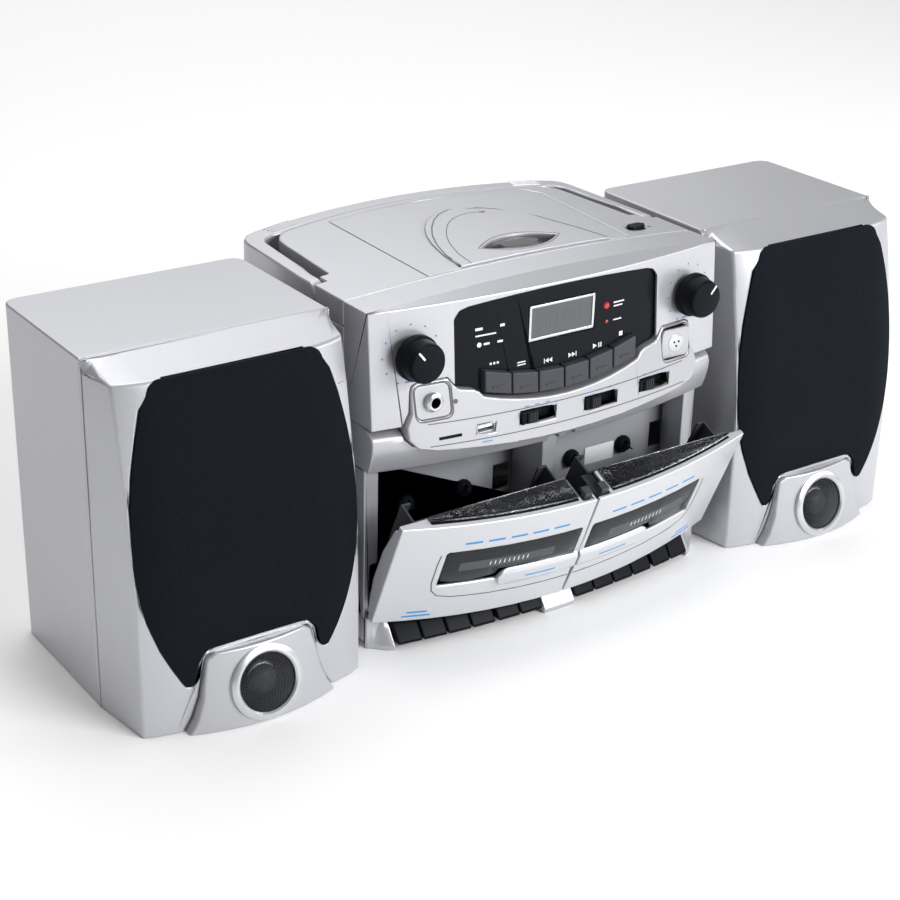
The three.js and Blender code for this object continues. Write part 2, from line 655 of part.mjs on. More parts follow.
for (const [name, x, z] of SWITCH_PLACES) {
  const left = x - SWITCH_SLOT_W / 2 + 0.4;
  const travel = SWITCH_SLOT_W - SWITCH_GRIP_W - 0.8;
  const high = SWITCH_SLOT_H / 2 - GAP;
  const ends = [left - 6, left + SWITCH_SLOT_W + travel + 1].map((end) => controlFront(end, z + 5));
  const back = Math.max(...ends) + WALL + 0.8;
  const shutter = box(left - 5.5, left + SWITCH_GRIP_W + travel + 0.6, back, back + 1.2, z - 4.5, z + 5);
  const front = controlFront(x, z - high) - 0.8;
  const grip = box(left, left + SWITCH_GRIP_W, front, back + 0.6, z - high, z + high);
  const groove = box(left + 2, left + 4, front - 1, front + 0.8, z - high - 1, z + high + 1);
  add(name, shutter.add(grip.subtract(groove)), BLACK, 0.5, 0.0);
}

// ---------------------------------------------------------------- CD player
const archSpan = (y) => ARCH_HALF * Math.sqrt(Math.max(0, 1 - (y / ARCH_TOP) ** 1.75));
function archOutline(y0) {
  const ys = [y0, 25, 45, 60, 72, 82, 89, 94];
  const right = ys.map((y) => [ARCH_X + archSpan(y), y]);
  const left = ys.map((y) => [ARCH_X - archSpan(y), y]).reverse();
  return [...right, [ARCH_X, ARCH_TOP], ...left];
}

function lens(u, v, halfW, halfH) {
  const edge = (way) => steps(-1, 1, 8).map((t) => [u + halfW * t, v + way * halfH * (1 - t * t)]);
  return [...edge(1).reverse(), ...edge(-1).slice(1, -1)];
}

function cdDoor() {
  const skin = alongZ(cdDoorOutline(0), 190, 240);
  const plate = skin.intersect(underRoof(0)).subtract(underRoof(CD_DOOR_T));
  const arch = skin.intersect(alongZ(archOutline(CD_DOOR_FRONT), 190, 240));
  const raised = arch.intersect(underRoof(-ARCH_RISE)).subtract(underRoof(CD_DOOR_T));
  const eye = alongZ(lens(EYE_X, EYE_Y, EYE_HALF_W, EYE_HALF_H), 190, 240);
  return plate.add(raised).subtract(eye);
}
add("cd_door", cdDoor(), SILVER, 0.4, 0.35);

function openButton() {
  const high = topAt(OPEN_X, OPEN_Y) + 2.2;
  const cap = alongZ(roundRect(OPEN_X - 6.5, OPEN_Y - 3.7, OPEN_X + 6.5, OPEN_Y + 3.7, 3.6), 211, high);
  return cap;
}
add("cd_open_button", openButton(), BLACK, 0.35, 0.0);

function turntable() {
  const profile = [
    [0, 196], [2, 196], [2, 204.2], [15, 204.2], [15, 205.6], [7.4, 205.6],
    [7.4, 208], [6.2, 209.4], [0, 209.4],
  ];
  const made = new THREE.LatheGeometry(profile.map(([r, d]) => new THREE.Vector2(r, d)), 24);
  return solid(made.rotateX(Math.PI / 2));
}
const platter = add("cd_turntable", turntable(), 0x3a3b3f, 0.45, 0.0);
platter.position.set(DISC_X, DISC_Y, 0);

function pickup() {
  const sled = box(DISC_X + 17.5, DISC_X + 33, DISC_Y - 10.5, DISC_Y + 10.5, 194, TUB_FLOOR - 2.6);
  return sled.add(alongZ(circle(DISC_X + 24, DISC_Y, 4.5, 16), 200, TUB_FLOOR + 1));
}
add("cd_pickup", pickup(), 0x34353a, 0.5, 0.1);

// ---------------------------------------------------------------- handle and antenna
function handle() {
  const corner = UNIT_HALF - 17;
  const inner = (x) => coverRear(x) + 0.8;
  const outer = (x) => HANDLE_REAR - 9.8 * (x / corner) ** 2;
  const half = [
    [0, outer(0)],
    ...steps(corner / 4, corner, 3).map((x) => [x, outer(x)]),
    [corner + 7.5, 131],
    [corner + 12, 125.5],
    [corner + 13.6, 118],
    [UNIT_HALF, HANDLE_PIVOT_Y + 10],
    [UNIT_HALF, HANDLE_PIVOT_Y - HANDLE_END_R],
    [UNIT_HALF - 8, HANDLE_PIVOT_Y - HANDLE_END_R],
    [UNIT_HALF - 8, HANDLE_PIVOT_Y + 8],
    [COVER_CORNER + 19.6, 112],
    [COVER_CORNER + 16.5, 118.4],
    [COVER_CORNER + 9, inner(COVER_CORNER) + 0.6],
    ...steps(COVER_CORNER, 0, 4).map((x) => [x, inner(x)]),
  ];
  const plan = [...half.slice(0, -1), ...mirrored(half).slice(0, -1)];
  const low = HANDLE_PIVOT_Z - HANDLE_END_R;
  const high = HANDLE_PIVOT_Z + HANDLE_END_R;
  const side = [
    ...arc(HANDLE_PIVOT_Y, HANDLE_PIVOT_Z, HANDLE_END_R, 90, 270, 8),
    [160, low],
    [160, high + 12],
    [90, high + 12],
    [60, high],
  ];
  const profile = alongX(side, -UNIT_HALF - 5, UNIT_HALF + 5);
  const arms = alongZ(plan, low - 1, 240).intersect(underRoof(0.4)).intersect(profile);
  const pin = (x0, x1) => alongX(circle(HANDLE_PIVOT_Y, HANDLE_PIVOT_Z, 2.5, 12), x0, x1);
  return arms.add(pin(-UNIT_HALF + 7, -UNIT_HALF + 10)).add(pin(UNIT_HALF - 10, UNIT_HALF - 7));
}
add("handle", handle(), SILVER, 0.42, 0.35);

function mast() {
  const tube = new THREE.CylinderGeometry(MAST_R, MAST_R, MAST_LENGTH, 12).rotateZ(Math.PI / 2);
  const bore = new THREE.CylinderGeometry(TIP_R + GAP, TIP_R + GAP, MAST_LENGTH - 8, 10).rotateZ(Math.PI / 2);
  const rod = solid(tube.translate(MAST_X - MAST_LENGTH / 2, MAST_Y, MAST_Z));
  const hole = solid(bore.translate(MAST_X - MAST_LENGTH / 2 - 8, MAST_Y, MAST_Z));
  const eye = alongY(circle(MAST_X, MAST_Z, 5.5, 16), MAST_Y - MAST_R - 1, MAST_Y + MAST_R);
  return rod.subtract(hole).add(eye);
}
add("antenna_mast", mast(), 0xd0d2d4, 0.2, 0.9);

function antennaTip() {
  const rod = new THREE.CylinderGeometry(TIP_R, TIP_R, MAST_LENGTH - 24, 10).rotateZ(Math.PI / 2);
  const cap = new THREE.CylinderGeometry(MAST_R + 0.6, MAST_R + 0.6, 6, 12).rotateZ(Math.PI / 2);
  const end = MAST_X - MAST_LENGTH - GAP;
  return solid(rod.translate(end - 3 + (MAST_LENGTH - 24) / 2, MAST_Y, MAST_Z))
    .add(solid(cap.translate(end - 3, MAST_Y, MAST_Z)));
}
add("antenna_tip", antennaTip(), 0xd0d2d4, 0.2, 0.9);

// ---------------------------------------------------------------- cassette doors
// Modelled shut for the right-hand deck, mirrored for the left, then swung open about the hinge.
const span = (side, a, b) => (side > 0 ? [a, b] : [-b, -a]);

function doorShell(side) {
  const xs = steps(...span(side, DOOR_IN, DOOR_OUT), 7);
  const zs = [DOOR_BOTTOM, 55, 85, DOOR_TOP];
  const insideZs = [DOOR_BOTTOM + WALL, 55, 85, DOOR_TOP - WALL];
  const holderFront = HOLDER_BACK_Y - HOLDER_WALL * 2 - CASSETTE_T;
  const outer = bowedBlock(xs, zs, doorFront, level(PILLAR_Y - 0.8));
  const inside = steps(...span(side, DOOR_IN + 2, DOOR_OUT - 2.3), 7);
  const inner = bowedBlock(inside, insideZs, behind(doorFront, WALL), level(0));
  const [windowLeft, windowRight] = span(side, 4, 97);
  const window = roundRect(windowLeft, 61, windowRight, 90.5, 1.5, 2);
  const notch = box(...span(side, 0, 10.5), -39.4, 0, DOOR_TOP - 4, DOOR_TOP + 1);
  const flank = bowedBlock(span(side, DOOR_OUT - 2.3, DOOR_OUT), [DOOR_BOTTOM + 4, 60, 85, DOOR_TOP - 6],
    level(PILLAR_Y - 2), (x, z) => PILLAR_Y + 6 * Math.sin((Math.PI * (z - DOOR_BOTTOM)) / 82));
  const tabTop = 69;
  const tab = bowedBlock(steps(...span(side, DOOR_IN, 58), 4), [55, 58, 66, tabTop],
    (x, z) => doorFront(x, z) - (z > 57 && z < 67 ? 2.2 : 0.4), behind(doorFront, 1));
  const [tabLeft, tabRight] = span(side, -8, 58);
  const tabEdge = alongY(roundRect(tabLeft, 55, tabRight, tabTop, 6.9, 4), -80, 0);
  let shell = outer.subtract(inner).subtract(alongY(window, -80, -18)).subtract(notch).add(flank);
  shell = shell.add(tab.intersect(tabEdge));
  shell = shell.subtract(box(...span(side, 0, CENTRE_PILLAR_HALF + 0.8), CENTRE_PILLAR_Y - 0.8, 0, 20, 120));
  for (const x of [30, 97]) {
    shell = shell.add(alongY(circle(side * x, 46, 3, 10), doorFront(x, 46) + 1, holderFront - GAP));
  }
  for (const [x, out] of [[PILLAR_IN + 1, 1], [7, -1]]) {
    const arm = [
      [-17.5, 50], [-12, 50], [-9, 42], [-2.2, 12],
      ...arc(DOOR_HINGE_Y, DOOR_HINGE_Z, 4, 20, -160, 5),
      [-13, 31.7], [-22, 31.7], [-22, 50],
    ];
    shell = shell.add(alongX(arm.reverse(), ...span(side, x, x + DOOR_ARM_T)));
    const pin = out > 0 ? [x + DOOR_ARM_T - 1, x + DOOR_ARM_T + 2.4] : [x - 3, x + 1];
    shell = shell.add(alongX(circle(DOOR_HINGE_Y, DOOR_HINGE_Z, 2, 10), ...span(side, ...pin)));
  }
  return shell;
}

function cassetteHolder(side) {
  const mid = DECK_X;
  const half = CASSETTE_W / 2;
  const front = HOLDER_BACK_Y - 2 * HOLDER_WALL - CASSETTE_T;
  const across = (grow) => span(side, mid - half - grow, mid + half + grow);
  const above = HOLDER_Z1 + 5;
  const outer = box(...across(HOLDER_WALL), front, HOLDER_BACK_Y, HOLDER_Z0, HOLDER_Z1);
  const pocket = box(...across(0), front + HOLDER_WALL, HOLDER_BACK_Y - HOLDER_WALL, HOLDER_Z0 + 2, above);
  const rear = box(...across(-5), HOLDER_BACK_Y - 4, 5, HOLDER_Z0 + 8, above);
  const view = box(...span(side, 16, 95), front - 5, front + 5, 63, 89);
  const arm = box(...span(side, CENTRE_PILLAR_HALF + 0.8, 14), -38.5, front + 1, 102, 106);
  const hook = box(...span(side, 3.5, 9), -38.5, -34, 102, 117.2);
  const barb = box(...span(side, 3.5, 9), -36, -32, 114.8, 117.2);
  return outer.subtract(pocket).subtract(rear).subtract(view).add(arm).add(hook).add(barb);
}

for (const [side, word] of [[-1, "left"], [1, "right"]]) {
  const swing = new THREE.Group();
  swing.position.set(0, DOOR_HINGE_Y, DOOR_HINGE_Z);
  swing.rotation.x = THREE.MathUtils.degToRad(DOOR_OPEN_DEG);
  stereo.add(swing);
  const hung = [
    add(`${word}_deck_door`, doorShell(side), BRIGHT_SILVER, 0.35, 0.25, swing),
    add(`${word}_cassette_holder`, cassetteHolder(side), 0x2b2d31, 0.5, 0.0, swing),
  ];
  for (const piece of hung) {
    piece.position.set(0, -DOOR_HINGE_Y, -DOOR_HINGE_Z);
  }
}

// ---------------------------------------------------------------- spindles and keys
function spindle() {
  const profile = [
    [0, SPINDLE_TIP_Y], [1.6, SPINDLE_TIP_Y], [2.6, SPINDLE_TIP_Y + 2], [2.8, -4], [4.6, -3.6],
    [SPINDLE_R, -1.6], [SPINDLE_R, PLATE_Y - GAP], [SPINDLE_SHAFT_R, PLATE_Y - GAP],
    [SPINDLE_SHAFT_R, 12], [0, 12],
  ];
  let hub = turned(profile, 0, 0, 12);
  for (const turn of [0, 120, 240]) {
    const fin = new THREE.BoxGeometry(1, 3.4, 4.4).translate(0, -5.1, 2.2);
    hub = hub.add(solid(fin.rotateY(THREE.MathUtils.degToRad(turn))));
  }
  return hub;
}
for (const [side, word] of [[-1, "left"], [1, "right"]]) {
  for (const [hub, which] of [[-1, "a"], [1, "b"]]) {
    const made = add(`${word}_spindle_${which}`, spindle(), BLACK, 0.45, 0.0);
    made.position.set(side * DECK_X + (hub * HUB_PITCH) / 2, 0, HUB_Z);
  }
}

function key(x0, x1) {
  const face = (x, z) =>
    keyFront(x) + 0.73 * (z - 5) + (z > 17 ? (z - 17) * 1.2 : 0) + (z < 5 ? 0.9 : 0);
  const zs = [KEY_BOTTOM, 5.3, 12, 17, KEY_TOP];
  const cap = bowedBlock([x0, (x0 + x1) / 2, x1], zs, face, level(KEY_HINGE_Y));
  return cap.add(alongX(circle(KEY_HINGE_Y, KEY_HINGE_Z, KEY_HINGE_R, 10), x0, x1));
}
const keyPitch = (KEY_ROW_OUT - KEY_ROW_IN - KEY_SPLIT) / KEYS;
for (const [start, word] of [[-KEY_ROW_OUT, "left"], [KEY_ROW_IN, "right"]]) {
  for (let i = 0; i < KEYS; i++) {
    const x0 = start + i * keyPitch + (i > 3 ? KEY_SPLIT : 0) + KEY_GAP / 2;
    add(`${word}_key_${i + 1}`, key(x0, x0 + keyPitch - KEY_GAP), BLACK, 0.4, 0.0);
  }
}

// ---------------------------------------------------------------- speakers
const speakerMid = (SPEAKER_IN + SPEAKER_OUT) / 2;
const speakerHalf = (SPEAKER_OUT - SPEAKER_IN) / 2;

function grilleWidth(z) {
  const up = (z - GRILLE_MID_Z) / (GRILLE_TOP - GRILLE_MID_Z);
  const down = (GRILLE_MID_Z - z) / (GRILLE_MID_Z - GRILLE_TIP_Z);
  return z > GRILLE_MID_Z
    ? GRILLE_MID_W - (GRILLE_MID_W - GRILLE_TOP_W) * up ** 2
    : GRILLE_MID_W - (GRILLE_MID_W - GRILLE_TIP_W) * down ** 2.2;
}

// How far the moulded front stands forward down the middle line.
function baffleReach(z) {
  if (z > GRILLE_TOP) return (30 * (SPEAKER_H - z)) / (SPEAKER_H - GRILLE_TOP);
  const t = (GRILLE_TOP - z) / 176;
  return t < 0.89 ? 30 + 43.3 * t - 24.3 * t * t : 49.3;
}

function baffleFront(s, z) {
  const off = Math.abs(s);
  const reach = baffleReach(z) - Math.min(baffleReach(z) * 0.5, 7 * (Math.max(0, off - 45) / 27) ** 2);
  const side = speakerHalf - BAFFLE_EDGE;
  return off > side ? -reach * Math.max(0, (speakerHalf - off) / BAFFLE_EDGE) - GAP : -reach - GAP;
}

function grilleOutline() {
  const side = [190, 175, 155, 135, GRILLE_MID_Z, 90, 72, 55, 42, 33].map((z) => [grilleWidth(z), z]);
  const half = [
    [0, GRILLE_TOP],
    [GRILLE_TOP_W - 10, GRILLE_TOP],
    [GRILLE_TOP_W - 2.5, GRILLE_TOP - 3],
    ...side,
    [GRILLE_TIP_W, GRILLE_TIP_Z],
    [GRILLE_TIP_W - 5, GRILLE_TIP_Z + 4],
    [37.5, 42],
    [33, POD_TOP + 2],
    [0, POD_TOP + 2.5],
  ];
  return [...half.slice(0, -1), ...mirrored(half).slice(0, -1)];
}

function podOutline() {
  const half = [
    [0, POD_TOP],
    [28, POD_TOP],
    [33, POD_TOP - 3],
    [35, 34],
    [37.5, 20],
    [42, 8],
    [POD_BASE_W, 0],
    [0, 0],
  ];
  return [...half.slice(0, -1), ...mirrored(half).slice(0, -1)];
}

const podFront = (s, z) => -POD_FRONT + (9 * z) / POD_TOP + 9 * (s / POD_BASE_W) ** 2;

const sGrid = [speakerHalf, 74, speakerHalf - BAFFLE_EDGE, 62, 52, 35, 17];
const speakerXs = [...sGrid.map((s) => -s), 0, ...[...sGrid].reverse()];
const speakerZs = [0, 20, 45, 75, GRILLE_MID_Z, 150, 180, 198, GRILLE_TOP, 207, 210, SPEAKER_H];

function speakerCabinet(inward) {
  const plan = (inset) =>
    roundRect(-speakerHalf + inset, -20, speakerHalf - inset, SPEAKER_DEPTH - inset, 8 - inset * 0.6);
  const cut = box(-100, 100, -40, GAP, -5, SPEAKER_H + 5);
  const outer = alongZ(plan(0), 0, SPEAKER_H).subtract(cut);
  const inner = alongZ(plan(SPEAKER_WALL), SPEAKER_WALL, SPEAKER_H - SPEAKER_WALL);
  const edge = inward * speakerHalf;
  const slot = box(Math.min(edge - inward * 6, edge + inward), Math.max(edge - inward * 6, edge + inward),
    RAIL_Y - RAIL_NECK / 2 - 1, RAIL_Y + RAIL_NECK / 2 + 1, -1, RAIL_Z1 + 1);
  const foot = box(Math.min(edge - inward * 9, edge - inward * (SPEAKER_WALL - 0.2)),
    Math.max(edge - inward * 9, edge - inward * (SPEAKER_WALL - 0.2)),
    RAIL_Y - RAIL_HEAD / 2 - 1, RAIL_Y + RAIL_HEAD / 2 + 1, -1, RAIL_Z1 + 1);
  return outer.subtract(inner).subtract(slot).subtract(foot);
}

function podBlock(grow) {
  const front = (s, z) => podFront(s, z) - grow;
  const across = steps(-POD_BASE_W - 1, POD_BASE_W + 1, 8);
  return bowedBlock(across, [-1, 15, 30, POD_TOP + 2], front, level(-42 + grow))
    .intersect(alongY(grown(podOutline(), grow), -90, 0))
    .intersect(box(-90, 90, -90, 0, 0, 90));
}

function baffle() {
  const outer = bowedBlock(speakerXs, speakerZs, baffleFront, level(-GAP / 2));
  const hollow = (s, z) => Math.min(-3, baffleFront(s, Math.min(z + 1, SPEAKER_H)) + SPEAKER_WALL);
  const reach = speakerHalf - BAFFLE_EDGE - SPEAKER_WALL;
  const within = [-reach, -52, -35, 0, 35, 52, reach];
  const inner = bowedBlock(within, [4, 45, 75, GRILLE_MID_Z, 150, 180, 198, 205], hollow, level(5));
  const plate = box(-72, 72, -12, -9, 3, 206).intersect(outer);
  const mouth = alongY(grown(grilleOutline(), GAP), -90, -13);
  const cone = alongY(circle(0, WOOFER_Z, WOOFER_R, 28), -20, 0);
  return outer.subtract(inner).subtract(mouth).add(plate).subtract(cone).subtract(podBlock(GAP));
}

function grille() {
  const skin = bowedBlock(speakerXs, speakerZs, baffleFront, (s, z) => baffleFront(s, z) + 2);
  return skin.intersect(alongY(grilleOutline(), -90, -15)).subtract(podBlock(GAP));
}

function tweeterPod() {
  const bore = alongY(circle(0, TWEETER_Z, TWEETER_R, 28), -90, -47);
  const dome = alongY(circle(0, TWEETER_Z, 9, 16), -52, -45);
  return podBlock(0).subtract(bore).add(dome);
}

function woofer() {
  const profile = [
    [0, -6], [12, -6], [14, -3.6], [20, 0], [WOOFER_R - 6, -14], [WOOFER_R - 2, -16.5], [WOOFER_R + 5, -16.5],
    [WOOFER_R + 5, -12.4], [WOOFER_R - 1, -12.4], [WOOFER_R - 4, -8], [30, 22], [30, 40], [0, 40],
  ];
  return turned(profile, 0, WOOFER_Z);
}

for (const [side, word] of [[-1, "left"], [1, "right"]]) {
  const place = new THREE.Group();
  place.position.x = side * speakerMid;
  stereo.add(place);
  add(`${word}_speaker_cabinet`, speakerCabinet(-side), SILVER, 0.45, 0.3, place);
  add(`${word}_speaker_baffle`, baffle(), SILVER, 0.38, 0.4, place);
  add(`${word}_grille`, grille(), 0x111216, 0.9, 0.0, place);
  add(`${word}_tweeter_pod`, tweeterPod(), BRIGHT_SILVER, 0.35, 0.35, place);
  add(`${word}_woofer`, woofer(), 0x202124, 0.7, 0.0, place);
}

export default stereo;
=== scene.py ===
import bpy
import json
import math
from mathutils import Matrix, Vector
from mathutils.bvhtree import BVHTree

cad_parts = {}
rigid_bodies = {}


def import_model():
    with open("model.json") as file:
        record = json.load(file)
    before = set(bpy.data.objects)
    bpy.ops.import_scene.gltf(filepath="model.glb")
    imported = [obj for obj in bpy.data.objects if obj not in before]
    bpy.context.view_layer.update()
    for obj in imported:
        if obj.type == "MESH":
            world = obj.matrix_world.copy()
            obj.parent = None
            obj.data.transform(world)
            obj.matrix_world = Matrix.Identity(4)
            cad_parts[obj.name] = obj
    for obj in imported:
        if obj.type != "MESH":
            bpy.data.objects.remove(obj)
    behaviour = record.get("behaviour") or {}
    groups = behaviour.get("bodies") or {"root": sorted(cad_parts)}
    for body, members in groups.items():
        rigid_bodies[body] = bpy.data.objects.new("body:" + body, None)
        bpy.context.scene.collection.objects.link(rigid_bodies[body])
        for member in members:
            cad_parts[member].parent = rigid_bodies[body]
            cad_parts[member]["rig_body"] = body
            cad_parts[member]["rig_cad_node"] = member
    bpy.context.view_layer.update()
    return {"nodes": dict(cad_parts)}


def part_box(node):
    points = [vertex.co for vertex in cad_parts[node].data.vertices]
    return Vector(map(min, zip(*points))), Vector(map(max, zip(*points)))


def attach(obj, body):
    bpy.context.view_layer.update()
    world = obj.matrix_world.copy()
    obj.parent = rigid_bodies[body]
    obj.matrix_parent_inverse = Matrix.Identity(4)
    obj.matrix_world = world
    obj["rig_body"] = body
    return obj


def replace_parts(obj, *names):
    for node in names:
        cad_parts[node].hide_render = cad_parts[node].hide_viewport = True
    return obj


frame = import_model()

# ---------------------------------------------------------------- Studio
# A white floor, one large soft lamp in front on the right, a weaker one from the side, one from
# above and one that keeps the far floor white. The camera looks down from the front left, as
# someone standing at a table does.
bpy.ops.object.select_all(action="DESELECT")
bpy.ops.mesh.primitive_plane_add(size=14, location=(0, 0, 0))
floor = bpy.context.active_object
floor.name = "studio_floor"
floor_paint = bpy.data.materials.new("floor_paint")
floor_paint.use_nodes = True
floor_shader = floor_paint.node_tree.nodes["Principled BSDF"]
floor_shader.inputs["Base Color"].default_value = (0.95, 0.95, 0.95, 1)
floor_shader.inputs["Roughness"].default_value = 0.75
floor.data.materials.append(floor_paint)

camera_data = bpy.data.cameras.new("camera")
camera_data.lens = 74.95
camera_data.sensor_width = 36
camera = bpy.data.objects.new("camera", camera_data)
bpy.context.scene.collection.objects.link(camera)
camera_right = Vector((0.82386, -0.56626, 0.02441))
camera_up = Vector((0.2174, 0.3555, 0.9090))
camera_back = Vector((-0.52344, -0.74362, 0.41598))
camera.matrix_world = Matrix.Translation((-0.6515, -0.8508, 0.5790)) @ Matrix(
    (camera_right, camera_up, camera_back)
).transposed().to_4x4()
bpy.context.scene.camera = camera

world = bpy.data.worlds.new("studio_air")
world.use_nodes = True
world.node_tree.nodes["Background"].inputs["Color"].default_value = (1, 1, 1, 1)
world.node_tree.nodes["Background"].inputs["Strength"].default_value = 0.25
bpy.context.scene.world = world
bpy.context.scene.view_settings.view_transform = "Standard"


def soft_lamp(name, place, aim, size, watts):
    lamp = bpy.data.lights.new(name, "AREA")
    lamp.shape = "RECTANGLE"
    lamp.size, lamp.size_y = size
    lamp.energy = watts
    holder = bpy.data.objects.new(name, lamp)
    bpy.context.scene.collection.objects.link(holder)
    holder.location = place
    holder.rotation_euler = (Vector(aim) - Vector(place)).to_track_quat("-Z", "Y").to_euler()


soft_lamp("key_lamp", (0.8, -2.0, 1.1), (0, -0.05, 0.1), (1.3, 0.9), 56)
soft_lamp("side_lamp", (1.9, -0.9, 0.9), (0.1, 0, 0.1), (0.9, 1.2), 8)
soft_lamp("top_lamp", (-0.1, 0.5, 2.3), (0, 0, 0.15), (1.8, 1.4), 26)
soft_lamp("floor_lamp", (1.2, 3.4, 2.4), (1.1, 3.2, 0), (3.5, 3.0), 60)

# ---------------------------------------------------------------- Rear cabinet
# The moulded rear half of the main unit: polystyrene sprayed in silver lacquer, closed by screws
# from behind. Two T-rails on its sides carry the speakers.


def only(piece):
    bpy.ops.object.select_all(action="DESELECT")
    piece.select_set(True)
    bpy.context.view_layer.objects.active = piece


def finished(piece, body, paint, angle=35):
    only(piece)
    bpy.ops.object.transform_apply(location=True, rotation=True, scale=True)
    bpy.ops.object.shade_smooth_by_angle(angle=math.radians(angle))
    piece.data.materials.clear()
    piece.data.materials.append(paint)
    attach(piece, body)
    return piece


def modifier(piece, kind, **values):
    only(piece)
    made = piece.modifiers.new(kind.lower(), kind)
    for key, value in values.items():
        setattr(made, key, value)
    bpy.ops.object.modifier_apply(modifier=made.name)


def true_normals(piece, curves, within=9):
    """Shades each curved face by the true curve, given as functions from a place to a normal."""
    mesh = piece.data
    limit = math.cos(math.radians(within))
    kept = [corner.vector.copy() for corner in mesh.corner_normals]
    for face in mesh.polygons:
        for corner in face.loop_indices:
            place = mesh.vertices[mesh.loops[corner].vertex_index].co * 1000
            for curve in curves:
                way = curve(place).normalized()
                if face.normal.dot(way) > limit:
                    kept[corner] = way
                    break
    mesh.normals_split_custom_set(kept)


def surface_of(mesh):
    places = [point.co for point in mesh.vertices]
    return BVHTree.FromPolygons(places, [face.vertices for face in mesh.polygons])


def moulded(node, body, paint, edge=0.0008, segments=2, least=0.0008, curves=(), within=9):
    """The node's shape with its hard edges rounded as a mould leaves them. A rounding that runs out
    past the sharp shape is brought back to it."""
    only(frame["nodes"][node])
    bpy.ops.object.duplicate()
    piece = bpy.context.active_object
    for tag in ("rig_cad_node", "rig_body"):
        if tag in piece:
            del piece[tag]
    piece.parent = None
    piece.name = node + "_moulding"
    only(piece)
    bpy.ops.object.mode_set(mode="EDIT")
    bpy.ops.mesh.select_all(action="SELECT")
    bpy.ops.mesh.remove_doubles(threshold=2e-6)
    if edge:
        bpy.ops.mesh.dissolve_limited(angle_limit=math.radians(0.6))
    bpy.ops.mesh.select_all(action="DESELECT")
    bpy.ops.object.mode_set(mode="OBJECT")
    if edge:
        crease = piece.data.attributes.new("bevel_weight_edge", "FLOAT", "EDGE")
        faces_of = {}
        for face in piece.data.polygons:
            for key in face.edge_keys:
                faces_of.setdefault(key, []).append(face.normal)
        points = piece.data.vertices
        for rim in piece.data.edges:
            sides = faces_of.get(tuple(sorted(rim.vertices)), [])
            long = (points[rim.vertices[0]].co - points[rim.vertices[1]].co).length
            if len(sides) == 2 and long > least and sides[0].angle(sides[1], 0) > math.radians(28):
                crease.data[rim.index].value = 1
        sharp_shape = surface_of(piece.data)
        modifier(piece, "BEVEL", width=edge, segments=segments, limit_method="WEIGHT",
                 use_clamp_overlap=False, miter_outer="MITER_ARC", loop_slide=True)
        for point in piece.data.vertices:
            near, _, _, away = sharp_shape.find_nearest(point.co)
            if away > edge * 0.6:
                point.co = near
    finished(piece, body, paint)
    modifier(piece, "WEIGHTED_NORMAL", keep_sharp=True)
    if curves:
        true_normals(piece, curves, within)
    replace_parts(piece, node)
    return piece


def new_group(name, inputs, outputs):
    group = bpy.data.node_groups.new(name, "ShaderNodeTree")
    for title, kind, value in inputs:
        socket = group.interface.new_socket(title, in_out="INPUT", socket_type=kind)
        socket.default_value = value
    for title, kind in outputs:
        group.interface.new_socket(title, in_out="OUTPUT", socket_type=kind)
    return group


def fine_grain_group():
    """Fine speckle, slow cloudiness and handling marks of sprayed or moulded plastic."""
    group = new_group(
        "fine_grain",
        [("Colour", "NodeSocketColor", (0.6, 0.6, 0.6, 1)), ("Speckle", "NodeSocketFloat", 0.05),
         ("Roughness", "NodeSocketFloat", 0.4), ("Uneven", "NodeSocketFloat", 0.08),
         ("Grain", "NodeSocketFloat", 0.2), ("Grain Scale", "NodeSocketFloat", 1600.0)],
        [("Colour", "NodeSocketColor"), ("Roughness", "NodeSocketFloat"), ("Normal", "NodeSocketVector")])
    nodes, links = group.nodes, group.links
    given = nodes.new("NodeGroupInput")
    out = nodes.new("NodeGroupOutput")
    place = nodes.new("ShaderNodeTexCoord")
    speck = nodes.new("ShaderNodeTexNoise")
    speck.inputs["Detail"].default_value = 2
    links.new(place.outputs["Object"], speck.inputs["Vector"])
    links.new(given.outputs["Grain Scale"], speck.inputs["Scale"])
    cloud = nodes.new("ShaderNodeTexNoise")
    cloud.inputs["Scale"].default_value = 18
    cloud.inputs["Detail"].default_value = 5
    links.new(place.outputs["Object"], cloud.inputs["Vector"])
    centred = nodes.new("ShaderNodeMath")
    centred.operation = "SUBTRACT"
    centred.inputs[1].default_value = 0.5
    links.new(speck.outputs["Fac"], centred.inputs[0])
    lift = nodes.new("ShaderNodeMath")
    lift.operation = "MULTIPLY"
    links.new(centred.outputs[0], lift.inputs[0])
    links.new(given.outputs["Speckle"], lift.inputs[1])
    tint = nodes.new("ShaderNodeVectorMath")
    tint.operation = "ADD"
    links.new(given.outputs["Colour"], tint.inputs[0])
    links.new(lift.outputs[0], tint.inputs[1])
    links.new(tint.outputs[0], out.inputs["Colour"])
    drift = nodes.new("ShaderNodeMath")
    drift.operation = "SUBTRACT"
    drift.inputs[1].default_value = 0.5
    links.new(cloud.outputs["Fac"], drift.inputs[0])
    rough = nodes.new("ShaderNodeMath")
    rough.operation = "MULTIPLY_ADD"
    links.new(drift.outputs[0], rough.inputs[0])
    links.new(given.outputs["Uneven"], rough.inputs[1])
    links.new(given.outputs["Roughness"], rough.inputs[2])
    links.new(rough.outputs[0], out.inputs["Roughness"])
    bump = nodes.new("ShaderNodeBump")
    bump.inputs["Distance"].default_value = 0.00012
    links.new(given.outputs["Grain"], bump.inputs["Strength"])
    links.new(speck.outputs["Fac"], bump.inputs["Height"])
    links.new(bump.outputs["Normal"], out.inputs["Normal"])
    return group


fine_grain = fine_grain_group()


